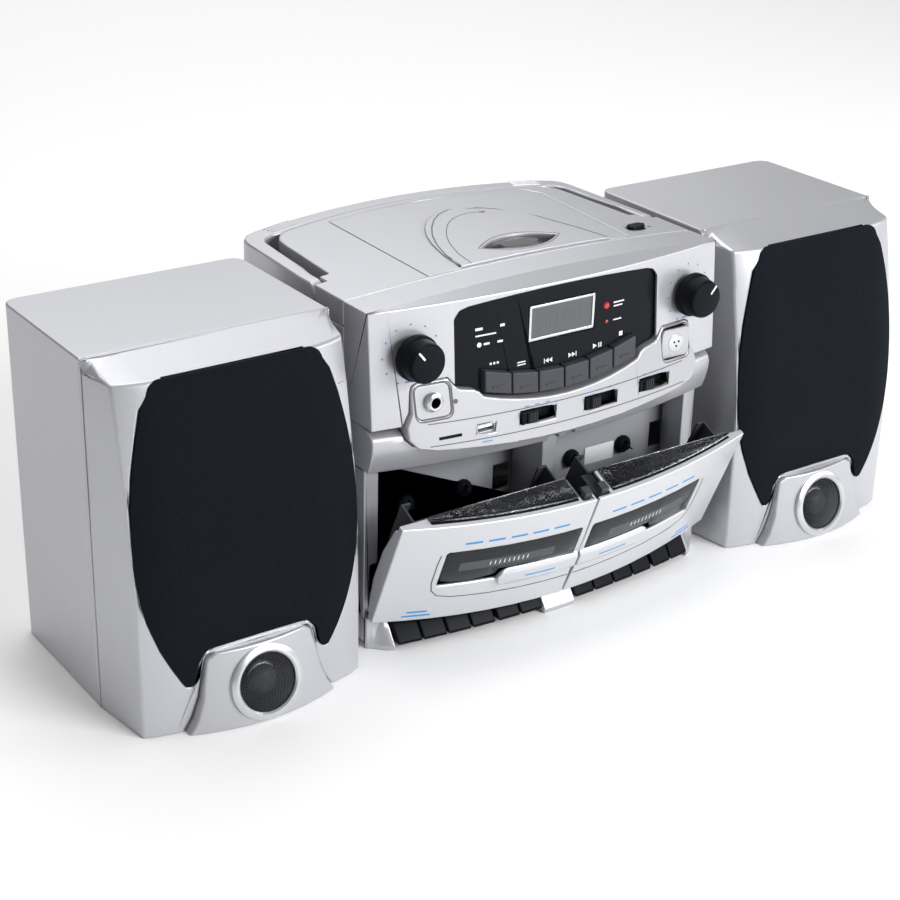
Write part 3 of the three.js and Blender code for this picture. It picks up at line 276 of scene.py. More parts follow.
def plastic(name, colour, roughness, speckle=0.03, uneven=0.08, grain=0.2, scale=1600.0,
            metallic=0.0, coat=0.0, coat_roughness=0.15):
    paint = bpy.data.materials.new(name)
    paint.use_nodes = True
    nodes, links = paint.node_tree.nodes, paint.node_tree.links
    shader = nodes["Principled BSDF"]
    shader.inputs["Metallic"].default_value = metallic
    shader.inputs["Coat Weight"].default_value = coat
    shader.inputs["Coat Roughness"].default_value = coat_roughness
    grainy = nodes.new("ShaderNodeGroup")
    grainy.node_tree = fine_grain
    grainy.inputs["Colour"].default_value = (*colour, 1)
    grainy.inputs["Speckle"].default_value = speckle
    grainy.inputs["Roughness"].default_value = roughness
    grainy.inputs["Uneven"].default_value = uneven
    grainy.inputs["Grain"].default_value = grain
    grainy.inputs["Grain Scale"].default_value = scale
    links.new(grainy.outputs["Colour"], shader.inputs["Base Color"])
    links.new(grainy.outputs["Roughness"], shader.inputs["Roughness"])
    links.new(grainy.outputs["Normal"], shader.inputs["Normal"])
    return paint


def duller(paint, level):
    """Takes down the mirror-like share of a dark plastic's shine."""
    paint.node_tree.nodes["Principled BSDF"].inputs["Specular IOR Level"].default_value = level
    return paint


silver_lacquer = plastic("silver_lacquer", (0.5, 0.505, 0.535), 0.36, speckle=0.16, grain=0.12,
                         scale=2600.0, metallic=0.55, coat=0.15, coat_roughness=0.25)
moulded("rear_cabinet", "main_unit", silver_lacquer, edge=0.0012)

# ---------------------------------------------------------------- Top cover
# The silver top moulding of the main unit, in the same lacquered polystyrene, round the disc well.
# An oval black button in it releases the disc door.
solid_of = {}


def ray_hit(node, start, way):
    """Where a straight line from start first meets the CAD node, or None."""
    if node not in solid_of:
        solid_of[node] = surface_of(frame["nodes"][node].data)
    return solid_of[node].ray_cast(Vector(start), Vector(way))[0]


def drawn(name, outline, fill="NGON"):
    """A new flat piece with that outline, given in millimetres, as its one face or as a bare edge."""
    bpy.ops.object.select_all(action="DESELECT")
    bpy.ops.mesh.primitive_circle_add(vertices=len(outline), radius=0.01, fill_type=fill)
    piece = bpy.context.active_object
    piece.name = name
    for point, (u, v) in zip(piece.data.vertices, outline):
        point.co = (u / 1000, v / 1000, 0)
    return piece


def sliced(outline, cuts):
    """Cuts the face being edited into upright strips, so that it can follow a curve."""
    low = min(u for u, _ in outline) / 1000
    high = max(u for u, _ in outline) / 1000
    for step in range(1, cuts):
        bpy.ops.mesh.select_all(action="SELECT")
        bpy.ops.mesh.bisect(plane_co=(low + (high - low) * step / cuts, 0, 0), plane_no=(1, 0, 0))
    bpy.ops.mesh.select_all(action="SELECT")


def thickened(reach):
    """Gives the shape being edited its thickness, faces it outwards and leaves edit mode."""
    bpy.ops.mesh.extrude_region_move(TRANSFORM_OT_translate={"value": reach})
    bpy.ops.mesh.select_all(action="SELECT")
    bpy.ops.mesh.normals_make_consistent(inside=False)
    bpy.ops.object.mode_set(mode="OBJECT")


def outward(piece):
    only(piece)
    bpy.ops.object.mode_set(mode="EDIT")
    bpy.ops.mesh.select_all(action="SELECT")
    bpy.ops.mesh.normals_make_consistent(inside=False)
    bpy.ops.object.mode_set(mode="OBJECT")


def softened(piece, bevel, angle=50):
    """Rounds the piece's edges by that many millimetres."""
    if bevel:
        modifier(piece, "BEVEL", width=bevel / 1000, segments=2, limit_method="ANGLE",
                 angle_limit=math.radians(angle))


def inlay(name, outline, node, way, proud, deep, body, paint, cuts=0, bevel=0.0):
    """A thin plate of that outline laid on the node's surface. way is "front" for an outline in
    (x, z) seen from the front, or "top" for one in (x, y) seen from above. Millimetres."""
    piece = drawn(name, outline)
    bpy.ops.object.mode_set(mode="EDIT")
    sliced(outline, cuts)
    thickened((0, 0, -deep / 1000))
    held = None
    for point in piece.data.vertices:
        x, v, level = point.co
        if way == "front":
            hit = ray_hit(node, (x, -0.3, v), (0, 1, 0))
            held = hit.y if hit else held
            point.co = (x, held - proud / 1000 - level, v)
        else:
            hit = ray_hit(node, (x, v, 0.4), (0, 0, -1))
            held = hit.z if hit else held
            point.co = (x, v, held + proud / 1000 + level)
    outward(piece)
    softened(piece, bevel)
    return finished(piece, body, paint)


def bar(u, v, wide, high):
    x, y = wide / 2, high / 2
    return [(u - x, v - y), (u + x, v - y), (u + x, v + y), (u - x, v + y)]


def oval(u, v, wide, high, count=24):
    return [(u + wide / 2 * math.cos(a), v + high / 2 * math.sin(a))
            for a in (2 * math.pi * i / count for i in range(count))]


def rounded(u0, v0, u1, v1, r, count=4):
    corners = ((u1 - r, v0 + r, -90), (u1 - r, v1 - r, 0), (u0 + r, v1 - r, 90), (u0 + r, v0 + r, 180))
    turns = [(u, v, math.radians(a + 90 * i / count)) for u, v, a in corners for i in range(count + 1)]
    return [(u + r * math.cos(turn), v + r * math.sin(turn)) for u, v, turn in turns]


def ribbon(points, wide):
    """The two edges of a line of that width through the points."""
    left, right = [], []
    for i, (u, v) in enumerate(points):
        before = points[i - 1] if i else points[i]
        after = points[i + 1] if i < len(points) - 1 else points[i]
        du, dv = after[0] - before[0], after[1] - before[1]
        size = math.hypot(du, dv) or 1
        left.append((u - dv / size * wide / 2, v + du / size * wide / 2))
        right.append((u + dv / size * wide / 2, v - du / size * wide / 2))
    return left, right


def joined(name, pieces):
    only(pieces[0])
    for piece in pieces:
        piece.select_set(True)
    bpy.ops.object.join()
    piece = bpy.context.active_object
    piece.name = name
    return piece


def line(name, points, wide, node, way, proud, body, paint):
    """A thin line laid along the surface, a chain of short plates joined into one piece."""
    fine = [points[0]]
    for (u0, v0), (u1, v1) in zip(points, points[1:]):
        parts = max(1, round(math.hypot(u1 - u0, v1 - v0) / 4))
        fine += [(u0 + (u1 - u0) * i / parts, v0 + (v1 - v0) * i / parts) for i in range(1, parts + 1)]
    left, right = ribbon(fine, wide)
    made = []
    for i in range(len(fine) - 1):
        outline = [left[i], right[i], right[i + 1], left[i + 1]]
        made.append(inlay(f"{name}_{i}", outline, node, way, proud, 0.3 + proud, body, paint))
    piece = joined(name, made)
    bpy.ops.object.mode_set(mode="EDIT")
    bpy.ops.mesh.select_all(action="SELECT")
    bpy.ops.mesh.remove_doubles(threshold=1e-6)
    bpy.ops.object.mode_set(mode="OBJECT")
    return piece


UNIT_HALF = 129
FRONT_BOW = 11


def roof(slope):
    return lambda place: Vector((10 * place.x / UNIT_HALF ** 2, -slope, 1))


def bowed_front(lean):
    return lambda place: Vector((2 * FRONT_BOW * place.x / UNIT_HALF ** 2, -1, lean))


COVER_SLOPE = 0.45
moulded("top_cover", "main_unit", silver_lacquer, edge=0.001, curves=[roof(0), roof(COVER_SLOPE)])
BLACK = (0.005, 0.006, 0.009)
black_gloss = duller(plastic("black_gloss", BLACK, 0.2, speckle=0.004, uneven=0.05, grain=0.02), 0.1)
black_satin = duller(plastic("black_satin", BLACK, 0.4, speckle=0.006, grain=0.25, scale=1200.0), 0.08)
dark_grey = duller(plastic("dark_grey_plastic", (0.045, 0.048, 0.057), 0.45, speckle=0.012, grain=0.35,
                           scale=1100.0), 0.3)
# Dark grey for grooves, seams and vent slots, laid on the surface as thin strips: painted shade of the
# grooves. The small open and jack marks are drawn in it too.
groove_shade_grey = plastic("groove_shadow", (0.1, 0.1, 0.11), 0.6, speckle=0.02)
print_blue = plastic("printed_blue", (0.03, 0.24, 0.58), 0.45, speckle=0.02)
print_white = plastic("printed_white", (0.75, 0.76, 0.78), 0.5, speckle=0.02)
moulded("cd_open_button", "cd_open_button", black_gloss, edge=0.0008, segments=3)
inlay("open_mark", [(105.6, 13.2), (109.6, 13.2), (107.6, 16.4)], "top_cover", "top", 0.05, 0.3,
      "main_unit", groove_shade_grey)

# ---------------------------------------------------------------- Disc door
# The hinged lid over the disc well, in lacquered polystyrene. A raised arch stands on it, with a
# dark lens to watch the disc through and pressed grooves along its edges, drawn as dark lines of painted
# shade.
moulded("cd_door", "cd_door", silver_lacquer, edge=0.0006, curves=[roof(0)])
ARCH = [(64.4, 3), (62, 14), (60, 25), (56.6, 38), (53, 51), (49.6, 63.7), (45, 76), (39, 86), (29.5, 94),
        (18, 96.6), (7, 95), (-3, 90), (-12, 82), (-21, 71), (-29.5, 58), (-37, 42), (-43, 24), (-46.5, 3)]
# The arch's grooves are dark strips laid on the door: painted groove shade.
line("arch_groove", ARCH, 0.8, "cd_door", "top", 0.12, "cd_door", groove_shade_grey)
line("arch_inner_groove", [(u * 0.86 + 1.4, v * 0.86 + 0.4) for u, v in ARCH[8:]], 0.5, "cd_door", "top",
     0.12, "cd_door", groove_shade_grey)
EYE_X, EYE_Y, EYE_HALF, EYE_RISE = 10.7, 22, 27.8, 11.9
EYE = [(EYE_X + EYE_HALF * t, EYE_Y + EYE_RISE * (1 - t * t)) for t in [1 - i / 8 for i in range(17)]] + [
    (EYE_X + EYE_HALF * t, EYE_Y - EYE_RISE * (1 - t * t)) for t in [-1 + i / 8 for i in range(1, 16)]]
smoked = duller(plastic("smoked_lens", (0.014, 0.015, 0.018), 0.12, speckle=0.003, uneven=0.04, grain=0.0),
                0.25)


def plate_at(name, outline, level, thick, body, paint, way="top", bevel=0.0):
    """A flat plate of that outline, its near face at that height (top) or depth (front)."""
    piece = drawn(name, outline)
    for point, (u, v) in zip(piece.data.vertices, outline):
        point.co = (u / 1000, v / 1000, level / 1000) if way == "top" else (u / 1000, level / 1000, v / 1000)
    bpy.ops.object.mode_set(mode="EDIT")
    bpy.ops.mesh.select_all(action="SELECT")
    thickened((0, 0, -thick / 1000) if way == "top" else (0, thick / 1000, 0))
    softened(piece, bevel, 40)
    return finished(piece, body, paint)


plate_at("disc_lens", EYE, 218.6, 1.6, "cd_door", smoked, bevel=0.5)
LENS_EDGE = [(EYE_X + (u - EYE_X) * 1.1, EYE_Y + (v - EYE_Y) * 1.22) for u, v in EYE]
# The groove round the lens is a dark line of painted shade.
line("lens_groove", LENS_EDGE + LENS_EDGE[:1], 0.7, "cd_door", "top", 0.05, "cd_door", groove_shade_grey)
lens_grey = plastic("lens_grey", (0.06, 0.06, 0.065), 0.25, speckle=0.01)
plate_at("lens_oval", oval(11.5, 23, 27, 12.5, 32), 218.75, 0.3, "cd_door", lens_grey)

# ---------------------------------------------------------------- Handle
# The U-shaped silver carrying handle, moulded plastic on two pivots. It lies folded back round the
# cover, with grip ridges at both ends.
moulded("handle", "handle", silver_lacquer, edge=0.0016, segments=3, curves=[roof(0)])
for side, word in ((-1, "left"), (1, "right")):
    for i, (y, reach) in enumerate(((125.2, 0), (128.8, 1), (132.4, 2))):
        ridge = [(side * (x + reach), y + dy) for x, dy in ((84, 4), (91, 2.8), (98, 1.4), (104, 0))]
        line(f"{word}_handle_ridge_{i + 1}", ridge, 1.0, "handle", "top", 0.45, "handle",
             silver_lacquer)

# ---------------------------------------------------------------- Front fascia
# The bowed silver front moulding round the black display, in lacquered polystyrene. Two black
# rotary knobs push onto the shafts of its controls, inside printed blue dots.
# The door lacquer is a lighter copy of the silver lacquer: partly the doors' whiter silver, partly painted
# light. The panel lacquer is a darker copy for the control panel, its socket plates and the tweeter pods:
# painted shade on faces that lean into the lamps' light.
door_silver_and_painted_light = plastic("door_silver_and_painted_light", (0.62, 0.63, 0.66), 0.32, speckle=0.06, grain=0.05,
                         scale=2600.0, metallic=0.45, coat=0.15, coat_roughness=0.25)
panel_lacquer_painted_shade = plastic("panel_lacquer_painted_shade", (0.46, 0.465, 0.49), 0.32, speckle=0.08, grain=0.06,
                        scale=2600.0, metallic=0.5, coat=0.15, coat_roughness=0.25)
FASCIA_LEAN = 0.076
moulded("front_fascia", "main_unit", silver_lacquer, edge=0.0008,
        curves=[bowed_front(FASCIA_LEAN), roof(0), roof(COVER_SLOPE)])


def turned(name, profile, centre, body, paint, way="front", steps=48):
    """A turned piece. profile is (radius, distance towards the far side) in millimetres."""
    piece = drawn(name, profile, fill="NOTHING")
    for point, (r, d) in zip(piece.data.vertices, profile):
        point.co = (r / 1000, d / 1000, 0) if way == "front" else (r / 1000, 0, d / 1000)
    bpy.ops.object.mode_set(mode="EDIT")
    if profile[0][0] == 0 or profile[-1][0] == 0:
        bpy.ops.mesh.select_all(action="DESELECT")
        bpy.ops.object.mode_set(mode="OBJECT")
        last = len(profile) - 1
        for edge in piece.data.edges:
            edge.select = set(edge.vertices) == {0, last}
        bpy.ops.object.mode_set(mode="EDIT")
        bpy.ops.mesh.select_mode(type="EDGE")
        bpy.ops.mesh.delete(type="EDGE_FACE")
        bpy.ops.mesh.select_mode(type="VERT")
    bpy.ops.mesh.select_all(action="SELECT")
    axis = (0, 1, 0) if way == "front" else (0, 0, 1)
    bpy.ops.mesh.spin(steps=steps, angle=math.tau, center=(0, 0, 0), axis=axis)
    bpy.ops.mesh.select_all(action="SELECT")
    bpy.ops.mesh.remove_doubles(threshold=1e-6)
    bpy.ops.mesh.normals_make_consistent(inside=False)
    bpy.ops.mesh.select_all(action="SELECT")
    bpy.ops.transform.translate(value=tuple(c / 1000 for c in centre))
    bpy.ops.object.mode_set(mode="OBJECT")
    return finished(piece, body, paint)


def about(centre, turn):
    """That turn, made about the centre instead of the origin."""
    return Matrix.Translation(centre) @ turn @ Matrix.Translation(-centre)


SHAFT, CAP, DOT_RING = 9, 15, 18
KNOB = [(0, -CAP), (9.2, -CAP), (10.9, -14.5), (11.8, -13.2), (12.1, -11.5), (12.6, -5.4), (13.3, -4.8),
        (13.8, -3.9), (13.8, -0.8), (13.2, 0), (3, 0), (3, SHAFT), (0, SHAFT)]
KNOB_Z = 186.5
for side, word in ((-1, "volume"), (1, "tuning")):
    knob_x = side * 103
    base_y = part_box(f"{word}_knob")[1].y * 1000 - SHAFT
    knob = turned(f"{word}_knob_cap", KNOB, (knob_x, base_y, KNOB_Z), f"{word}_knob", black_satin,
                  steps=64)
    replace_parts(knob, f"{word}_knob")
    notch = plate_at(f"{word}_knob_mark", rounded(knob_x - 0.6, 191, knob_x + 0.6, 197.4, 0.5),
                     base_y - CAP - 0.1, 0.5, f"{word}_knob", print_white, way="front")
    notch.data.transform(about(Vector((knob_x / 1000, 0, KNOB_Z / 1000)),
                               Matrix.Rotation(math.radians(side * 40), 4, "Y")))
    dots = []
    for i in range(11):
        a = math.radians(-150 + 30 * i)
        dot = oval(knob_x + DOT_RING * math.sin(a), KNOB_Z + DOT_RING * math.cos(a), 1.3, 1.3, 10)
        dots.append(inlay(f"{word}_dot_{i}", dot, "front_fascia", "front", 0.05, 0.3, "main_unit",
                          print_blue))
    joined(f"{word}_scale", dots)
    inlay(f"{word}_scale_bar", bar(knob_x, 170.9, 9, 0.8), "front_fascia", "front", 0.05, 0.3, "main_unit",
          print_blue)

# ---------------------------------------------------------------- Display
# The black glossy display panel with its silver-framed liquid crystal window, a red remote eye, a
# power lamp, and six grey disc function buttons in a curved row below.
moulded("display_panel", "main_unit", black_gloss, edge=0.0005,
        curves=[bowed_front(FASCIA_LEAN)], within=30)
lcd_y = ray_hit("display_panel", (-0.03, -0.3, 0.19), (0, 1, 0)).y * 1000
satin_metal = plastic("satin_metal", (0.62, 0.63, 0.65), 0.3, speckle=0.04, metallic=0.9, grain=0.05)
lcd_glass = duller(plastic("lcd_glass", (0.1, 0.105, 0.11), 0.2, speckle=0.004, uneven=0.03, grain=0.0), 0.25)


def framed(name, outer, inner, level, thick, body, paint, bevel=0.3):
    """A flat ring between two outlines of the same count of points, facing the front."""
    piece = drawn(name, outer, fill="NOTHING")
    bpy.ops.object.mode_set(mode="EDIT")
    bpy.ops.mesh.select_all(action="SELECT")
    bpy.ops.mesh.extrude_region_move(TRANSFORM_OT_translate={"value": (0, 0, 0.01)})
    bpy.ops.object.mode_set(mode="OBJECT")
    for point, (u, v) in zip(piece.data.vertices, outer + inner):
        point.co = (u / 1000, level / 1000, v / 1000)
    bpy.ops.object.mode_set(mode="EDIT")
    bpy.ops.mesh.select_all(action="SELECT")
    thickened((0, thick / 1000, 0))
    softened(piece, bevel)
    return finished(piece, body, paint)


framed("lcd_frame", rounded(-22.6, 178.9, 26.1, 201.1, 0.6), rounded(-20.9, 180.8, 24.4, 199.6, 0.4),
       lcd_y - 0.2, 1.2, "main_unit", satin_metal)
plate_at("lcd_window", rounded(-21.6, 180, 25.1, 200.4, 0.4), lcd_y + 0.5, 1.5, "main_unit",
         lcd_glass, way="front")
lcd_dark = plastic("lcd_segment", (0.078, 0.082, 0.085), 0.3, speckle=0.003)
DIGIT = [(0, 4.4, 4, 0.7), (0, 0, 4, 0.7), (0, -4.4, 4, 0.7), (-2.4, 2.2, 0.7, 3.6), (2.4, 2.2, 0.7, 3.6),
         (-2.4, -2.2, 0.7, 3.6), (2.4, -2.2, 0.7, 3.6)]
segments = []
for i, u in enumerate((-12, -4, 6, 14)):
    for j, (du, dv, wide, high) in enumerate(DIGIT):
        segments.append(plate_at(f"lcd_bar_{i}_{j}", bar(u + du, 190 + dv, wide, high), lcd_y + 0.44, 0.04,
                                 "main_unit", lcd_dark, way="front"))
joined("lcd_digits", segments)
red_eye = plastic("red_eye", (0.45, 0.01, 0.01), 0.15, speckle=0.01, coat=0.6)
for name, profile, x, z, steps in (
        ("remote_eye", [(0, -0.9), (1.6, -0.7), (2.3, 0), (2.3, 1.5), (0, 1.5)], 35.6, 191, 24),
        ("power_lamp", [(0, -0.5), (0.9, -0.3), (1.2, 0), (1.2, 1.2), (0, 1.2)], 35.8, 181, 16)):
    y = ray_hit("display_panel", (x / 1000, -0.3, z / 1000), (0, 1, 0)).y * 1000
    turned(name, profile, (x, y, z), "main_unit", red_eye, steps=steps)


def tray_low(x):
    """Height of the curved lower edge of the button tray."""
    return 147.4 + 8.3 * (x / 57.5) ** 2


BUTTON_STEP = 19
marks = []


def mark(outline):
    marks.append(inlay(f"mark_{len(marks)}", outline, "display_panel", "front", 0.04, 0.3, "main_unit",
                       print_white))


for index in range(6):
    x = BUTTON_STEP * (index - 2.5)
    z = tray_low(x) + 18.2
    if index == 0:
        for i in range(3):
            mark(bar(x - 2.4 + 2.4 * i, z, 1.4, 1.4))
    if index == 1:
        mark(bar(x, z + 0.8, 6, 0.7))
        mark(bar(x, z - 0.8, 6, 0.7))
    if index == 2:
        mark([(x + 3.4, z - 1.5), (x + 3.4, z + 1.5), (x + 0.9, z)])
        mark([(x + 0.7, z - 1.5), (x + 0.7, z + 1.5), (x - 1.8, z)])
        mark(bar(x - 2.4, z, 0.6, 3))
    if index == 3:
        mark([(x - 3.4, z + 1.5), (x - 3.4, z - 1.5), (x - 0.9, z)])
        mark([(x - 0.7, z + 1.5), (x - 0.7, z - 1.5), (x + 1.8, z)])
        mark(bar(x + 2.4, z, 0.6, 3))
    if index == 4:
        mark([(x - 3.4, z + 1.6), (x - 3.4, z - 1.6), (x - 0.4, z)])
        mark(bar(x + 1.2, z, 0.8, 3))
        mark(bar(x + 2.9, z, 0.8, 3))
    if index == 5:
        mark(bar(x, z, 2.8, 2.8))
mark(bar(-50, 193.5, 20, 1.6))
mark(bar(-53, 189.5, 14, 0.9))
mark(oval(-57.5, 184, 3, 3, 16))
mark(bar(-48, 184, 13, 1.3))
mark(bar(45.6, 191.8, 8.5, 0.8))
mark(bar(45, 189.6, 7, 0.8))
mark(bar(44.4, 181, 6.5, 0.8))
joined("display_marks", marks)
for index in range(1, 7):
    moulded(f"cd_button_{index}", f"cd_button_{index}", dark_grey, edge=0.0009, segments=3)
    x = BUTTON_STEP * (index - 3.5)
    inlay(f"cd_button_{index}_rib", bar(x, tray_low(x) + 5.4, 8, 1.1), f"cd_button_{index}", "front", 0.5,
          0.8, f"cd_button_{index}", dark_grey, bevel=0.2)

# ---------------------------------------------------------------- Control panel
# The lacquered panel below the display: headphone and microphone sockets in framed plates, a USB
# socket, a card slot, and three black slide switches in dark windows.
PANEL_LEAN = 0.226
# The panel, its headphone moulding and its microphone plate are in the darker panel lacquer: painted shade.
moulded("control_panel", "main_unit", panel_lacquer_painted_shade, edge=0.0011, segments=3,
        curves=[bowed_front(PANEL_LEAN), bowed_front(FASCIA_LEAN)])
panel = "control_panel"
moulded("headphone_jack", "main_unit", panel_lacquer_painted_shade, edge=0.0003)
JACK_X, JACK_Z = 91, 157
# The groove round each socket plate is a dark line of painted shade.
for side, word in ((-1, "left"), (1, "right")):
    edge = rounded(side * JACK_X - 12.2, 146.2, side * JACK_X + 12.2, 167.8, 4.4)
    line(f"jack_groove_{word}", edge + edge[:1], 0.7, panel, "front", 0.04, "main_unit",
         groove_shade_grey)
jack_y = ray_hit("headphone_jack", (-0.096, -0.3, 0.157), (0, 1, 0)).y * 1000
turned("headphone_ring", [(3.3, -2.2), (4.4, -2.4), (5.6, -1.6), (5.8, 0.6), (3.3, 0.6)],
       (-JACK_X, jack_y, JACK_Z), "main_unit", satin_metal, steps=40)
turned("headphone_bore", [(0, 8), (3.25, 8), (3.25, -1.9), (2.9, -1.9), (2.9, 7.4), (0, 7.4)],
       (-JACK_X, jack_y, JACK_Z), "main_unit", black_satin, steps=32)
plate_at("microphone_plate", rounded(80, 147.6, 102, 166.4, 3.4), jack_y, 2.2, "main_unit",
         panel_lacquer_painted_shade, way="front", bevel=0.4)
turned("microphone_ring", [(0, -0.7), (4.8, -0.7), (5.9, -0.3), (6.2, 0.4), (0, 0.4)],
       (JACK_X, jack_y, JACK_Z), "main_unit", satin_metal, steps=40)
for i, (u, v) in enumerate(((-1.8, 0.8), (1.8, 0.8), (0, -2))):
    turned(f"microphone_hole_{i + 1}", [(0, -0.78), (0.8, -0.78), (0.8, 0), (0, 0)],
           (JACK_X + u, jack_y, JACK_Z + v), "main_unit", black_satin, steps=12)
usb_y = ray_hit(panel, (-0.0665, -0.3, 0.136), (0, 1, 0)).y * 1000
framed("usb_shell", rounded(-64.9, 133.4, -52.1, 138.6, 0.5), rounded(-64.3, 134, -52.7, 138, 0.4),
       usb_y - 0.1, 9, "main_unit", satin_metal, bevel=0.1)
plate_at("usb_tongue", rounded(-63.6, 136, -53.4, 137.5, 0.2), usb_y + 0.8, 8, "main_unit",
         print_white, way="front", bevel=0.1)
plate_at("usb_back", rounded(-64.6, 133.7, -52.4, 138.3, 0.3), usb_y + 8.4, 0.6, "main_unit",
         black_satin, way="front")
# The card slot is a black plate laid on the panel: painted shade of its opening.
inlay("memory_slot", rounded(-90, 134.4, -75, 136.2, 0.3), panel, "front", 0.05, 0.4, "main_unit",
      black_satin, cuts=5)
band_low = [(x, 129.6 + 2.2 * (x / 100) ** 2) for x in range(-96, 97, 12)]
band_high = [(x, 142.4 + 2.4 * (x / 100) ** 2) for x in range(-96, 97, 12)]
# The two grooves along the switch band are dark lines of painted shade.
line("band_groove_low", band_low, 0.6, panel, "front", 0.04, "main_unit", groove_shade_grey)
line("band_groove_high", band_high, 0.6, panel, "front", 0.04, "main_unit", groove_shade_grey)
for word, x, z in (("function", -22, 137), ("dubbing", 25.5, 136), ("band", 70, 137.2)):
    moulded(f"{word}_switch", f"{word}_switch", black_satin, edge=0.0003)
    switch_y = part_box(f"{word}_switch")[0].y * 1000
    grooves = []
    for i in range(4):
        u = x - 13.25 + 6.4 + 1.5 * i
        grooves.append(plate_at(f"{word}_grip_{i}", bar(u, z, 0.5, 6.4), switch_y - 0.25, 0.6,
                                f"{word}_switch", dark_grey, way="front"))
    joined(f"{word}_grip_ribs", grooves)
    ticks = []
    for i in range(3):
        ticks.append(inlay(f"{word}_tick_{i}", bar(x - 7.5 + 7.5 * i, z + 6.4, 3.4, 0.7), panel, "front",
                           0.04, 0.3, "main_unit", print_blue))
    joined(f"{word}_ticks", ticks)
inlay("jack_mark", oval(-77, 155, 3, 3, 16), panel, "front", 0.04, 0.3, "main_unit", groove_shade_grey)
inlay("usb_mark", bar(-58.5, 128.4, 7, 0.7), panel, "front", 0.04, 0.3, "main_unit", print_blue)

# ---------------------------------------------------------------- Deck frame and deck plate
# The silver tier, pillars and key surround, and the grey plate behind the wells that carries the
# spindles, the tape heads and the white metal data plates.
moulded("deck_frame", "main_unit", silver_lacquer, edge=0.001)
plate_grey = plastic("plate_grey", (0.36, 0.37, 0.4), 0.5, speckle=0.04, grain=0.3, metallic=0.25)
moulded("deck_plate", "main_unit", plate_grey, edge=0.0003, least=0.002)
WELL_X = 63.65
for side, word in ((-1, "left"), (1, "right")):
    mid = side * WELL_X
    plate_at(f"{word}_data_plate", rounded(mid - 12 + 2.6, 66.5, mid + 12 + 2.6, 78.4, 0.8), 0.3, 0.6,
             "main_unit", print_white, way="front", bevel=0.15)
    for i, (u, v) in enumerate(((-40, 104), (40, 104), (-20, 52), (24, 52))):
        turned(f"{word}_plate_screw_{i + 1}", [(0, -0.7), (1.6, -0.7), (2.2, -0.1), (2.2, 0.6), (0, 0.6)],
               (mid + u, 0.9, v), "main_unit", satin_metal, steps=20)
    plate_at(f"{word}_head_mount", rounded(mid - 17, 30, mid + 17, 45, 1), -6, 6.8, "main_unit",
             dark_grey, way="front", bevel=0.5)
    plate_at(f"{word}_tape_head", rounded(mid - 6.5, 36, mid + 6.5, 49, 1.2), -9, 5, "main_unit",
             satin_metal, way="front", bevel=0.8)
    turned(f"{word}_pinch_roller", [(0, -11), (5.6, -11), (6, -10.6), (6, -4.4), (5.6, -4), (0, -4)],
           (mid + 24, 0, 45), "main_unit", black_satin, steps=32)
    turned(f"{word}_capstan", [(0, -12.5), (0.9, -12.2), (1.2, -11.8), (1.2, 0.9), (0, 0.9)],
           (mid + 16.6, 0, 45), "main_unit", satin_metal, steps=16)

# ---------------------------------------------------------------- Cassette doors
# Two whiter silver doors that hang open, their lacquer made lighter still as painted light, each with a
# smoked window, a pull tab and a black holder for the cassette. A clear ribbed strip runs along the top
# behind the front, over a black shelf that is painted shade of the cassette pocket.
opened = about(Vector((0, -0.006, 0.009)), Matrix.Rotation(math.radians(24), 4, "X"))
DOOR_TOP, DOOR_H = 113.5, 82


def door_front(x, z):
    """Depth of the shut door's bowed front."""
    down = (DOOR_TOP - z) / DOOR_H
    return -(25 + 1.5 * down) - (17 + 2 * down) * (1 - (x / UNIT_HALF) ** 2)


def door_curve(place):
    across = place.x / UNIT_HALF
    return opened.to_3x3() @ Vector((36 * across / UNIT_HALF, -1, (3.5 - 2 * across ** 2) / DOOR_H))


def on_door(name, outline, proud, deep, body, paint, cuts=10, bevel=0.0):
    """A plate laid along the shut door's bowed front, then swung open with it."""
    piece = drawn(name, outline)
    bpy.ops.object.mode_set(mode="EDIT")
    sliced(outline, cuts)
    bpy.ops.mesh.extrude_region_move(TRANSFORM_OT_translate={"value": (0, 0, -deep / 1000)})
    bpy.ops.object.mode_set(mode="OBJECT")
    for point in piece.data.vertices:
        x, z, level = point.co
        point.co = (x, door_front(x * 1000, z * 1000) / 1000 - proud / 1000 - level, z)
    piece.data.transform(opened)
    outward(piece)
    softened(piece, bevel)
    return finished(piece, body, paint)


def sided(side, points):
    """The points as they are on the right, or mirrored for the left."""
    return points if side > 0 else [(-u, v) for u, v in reversed(points)]


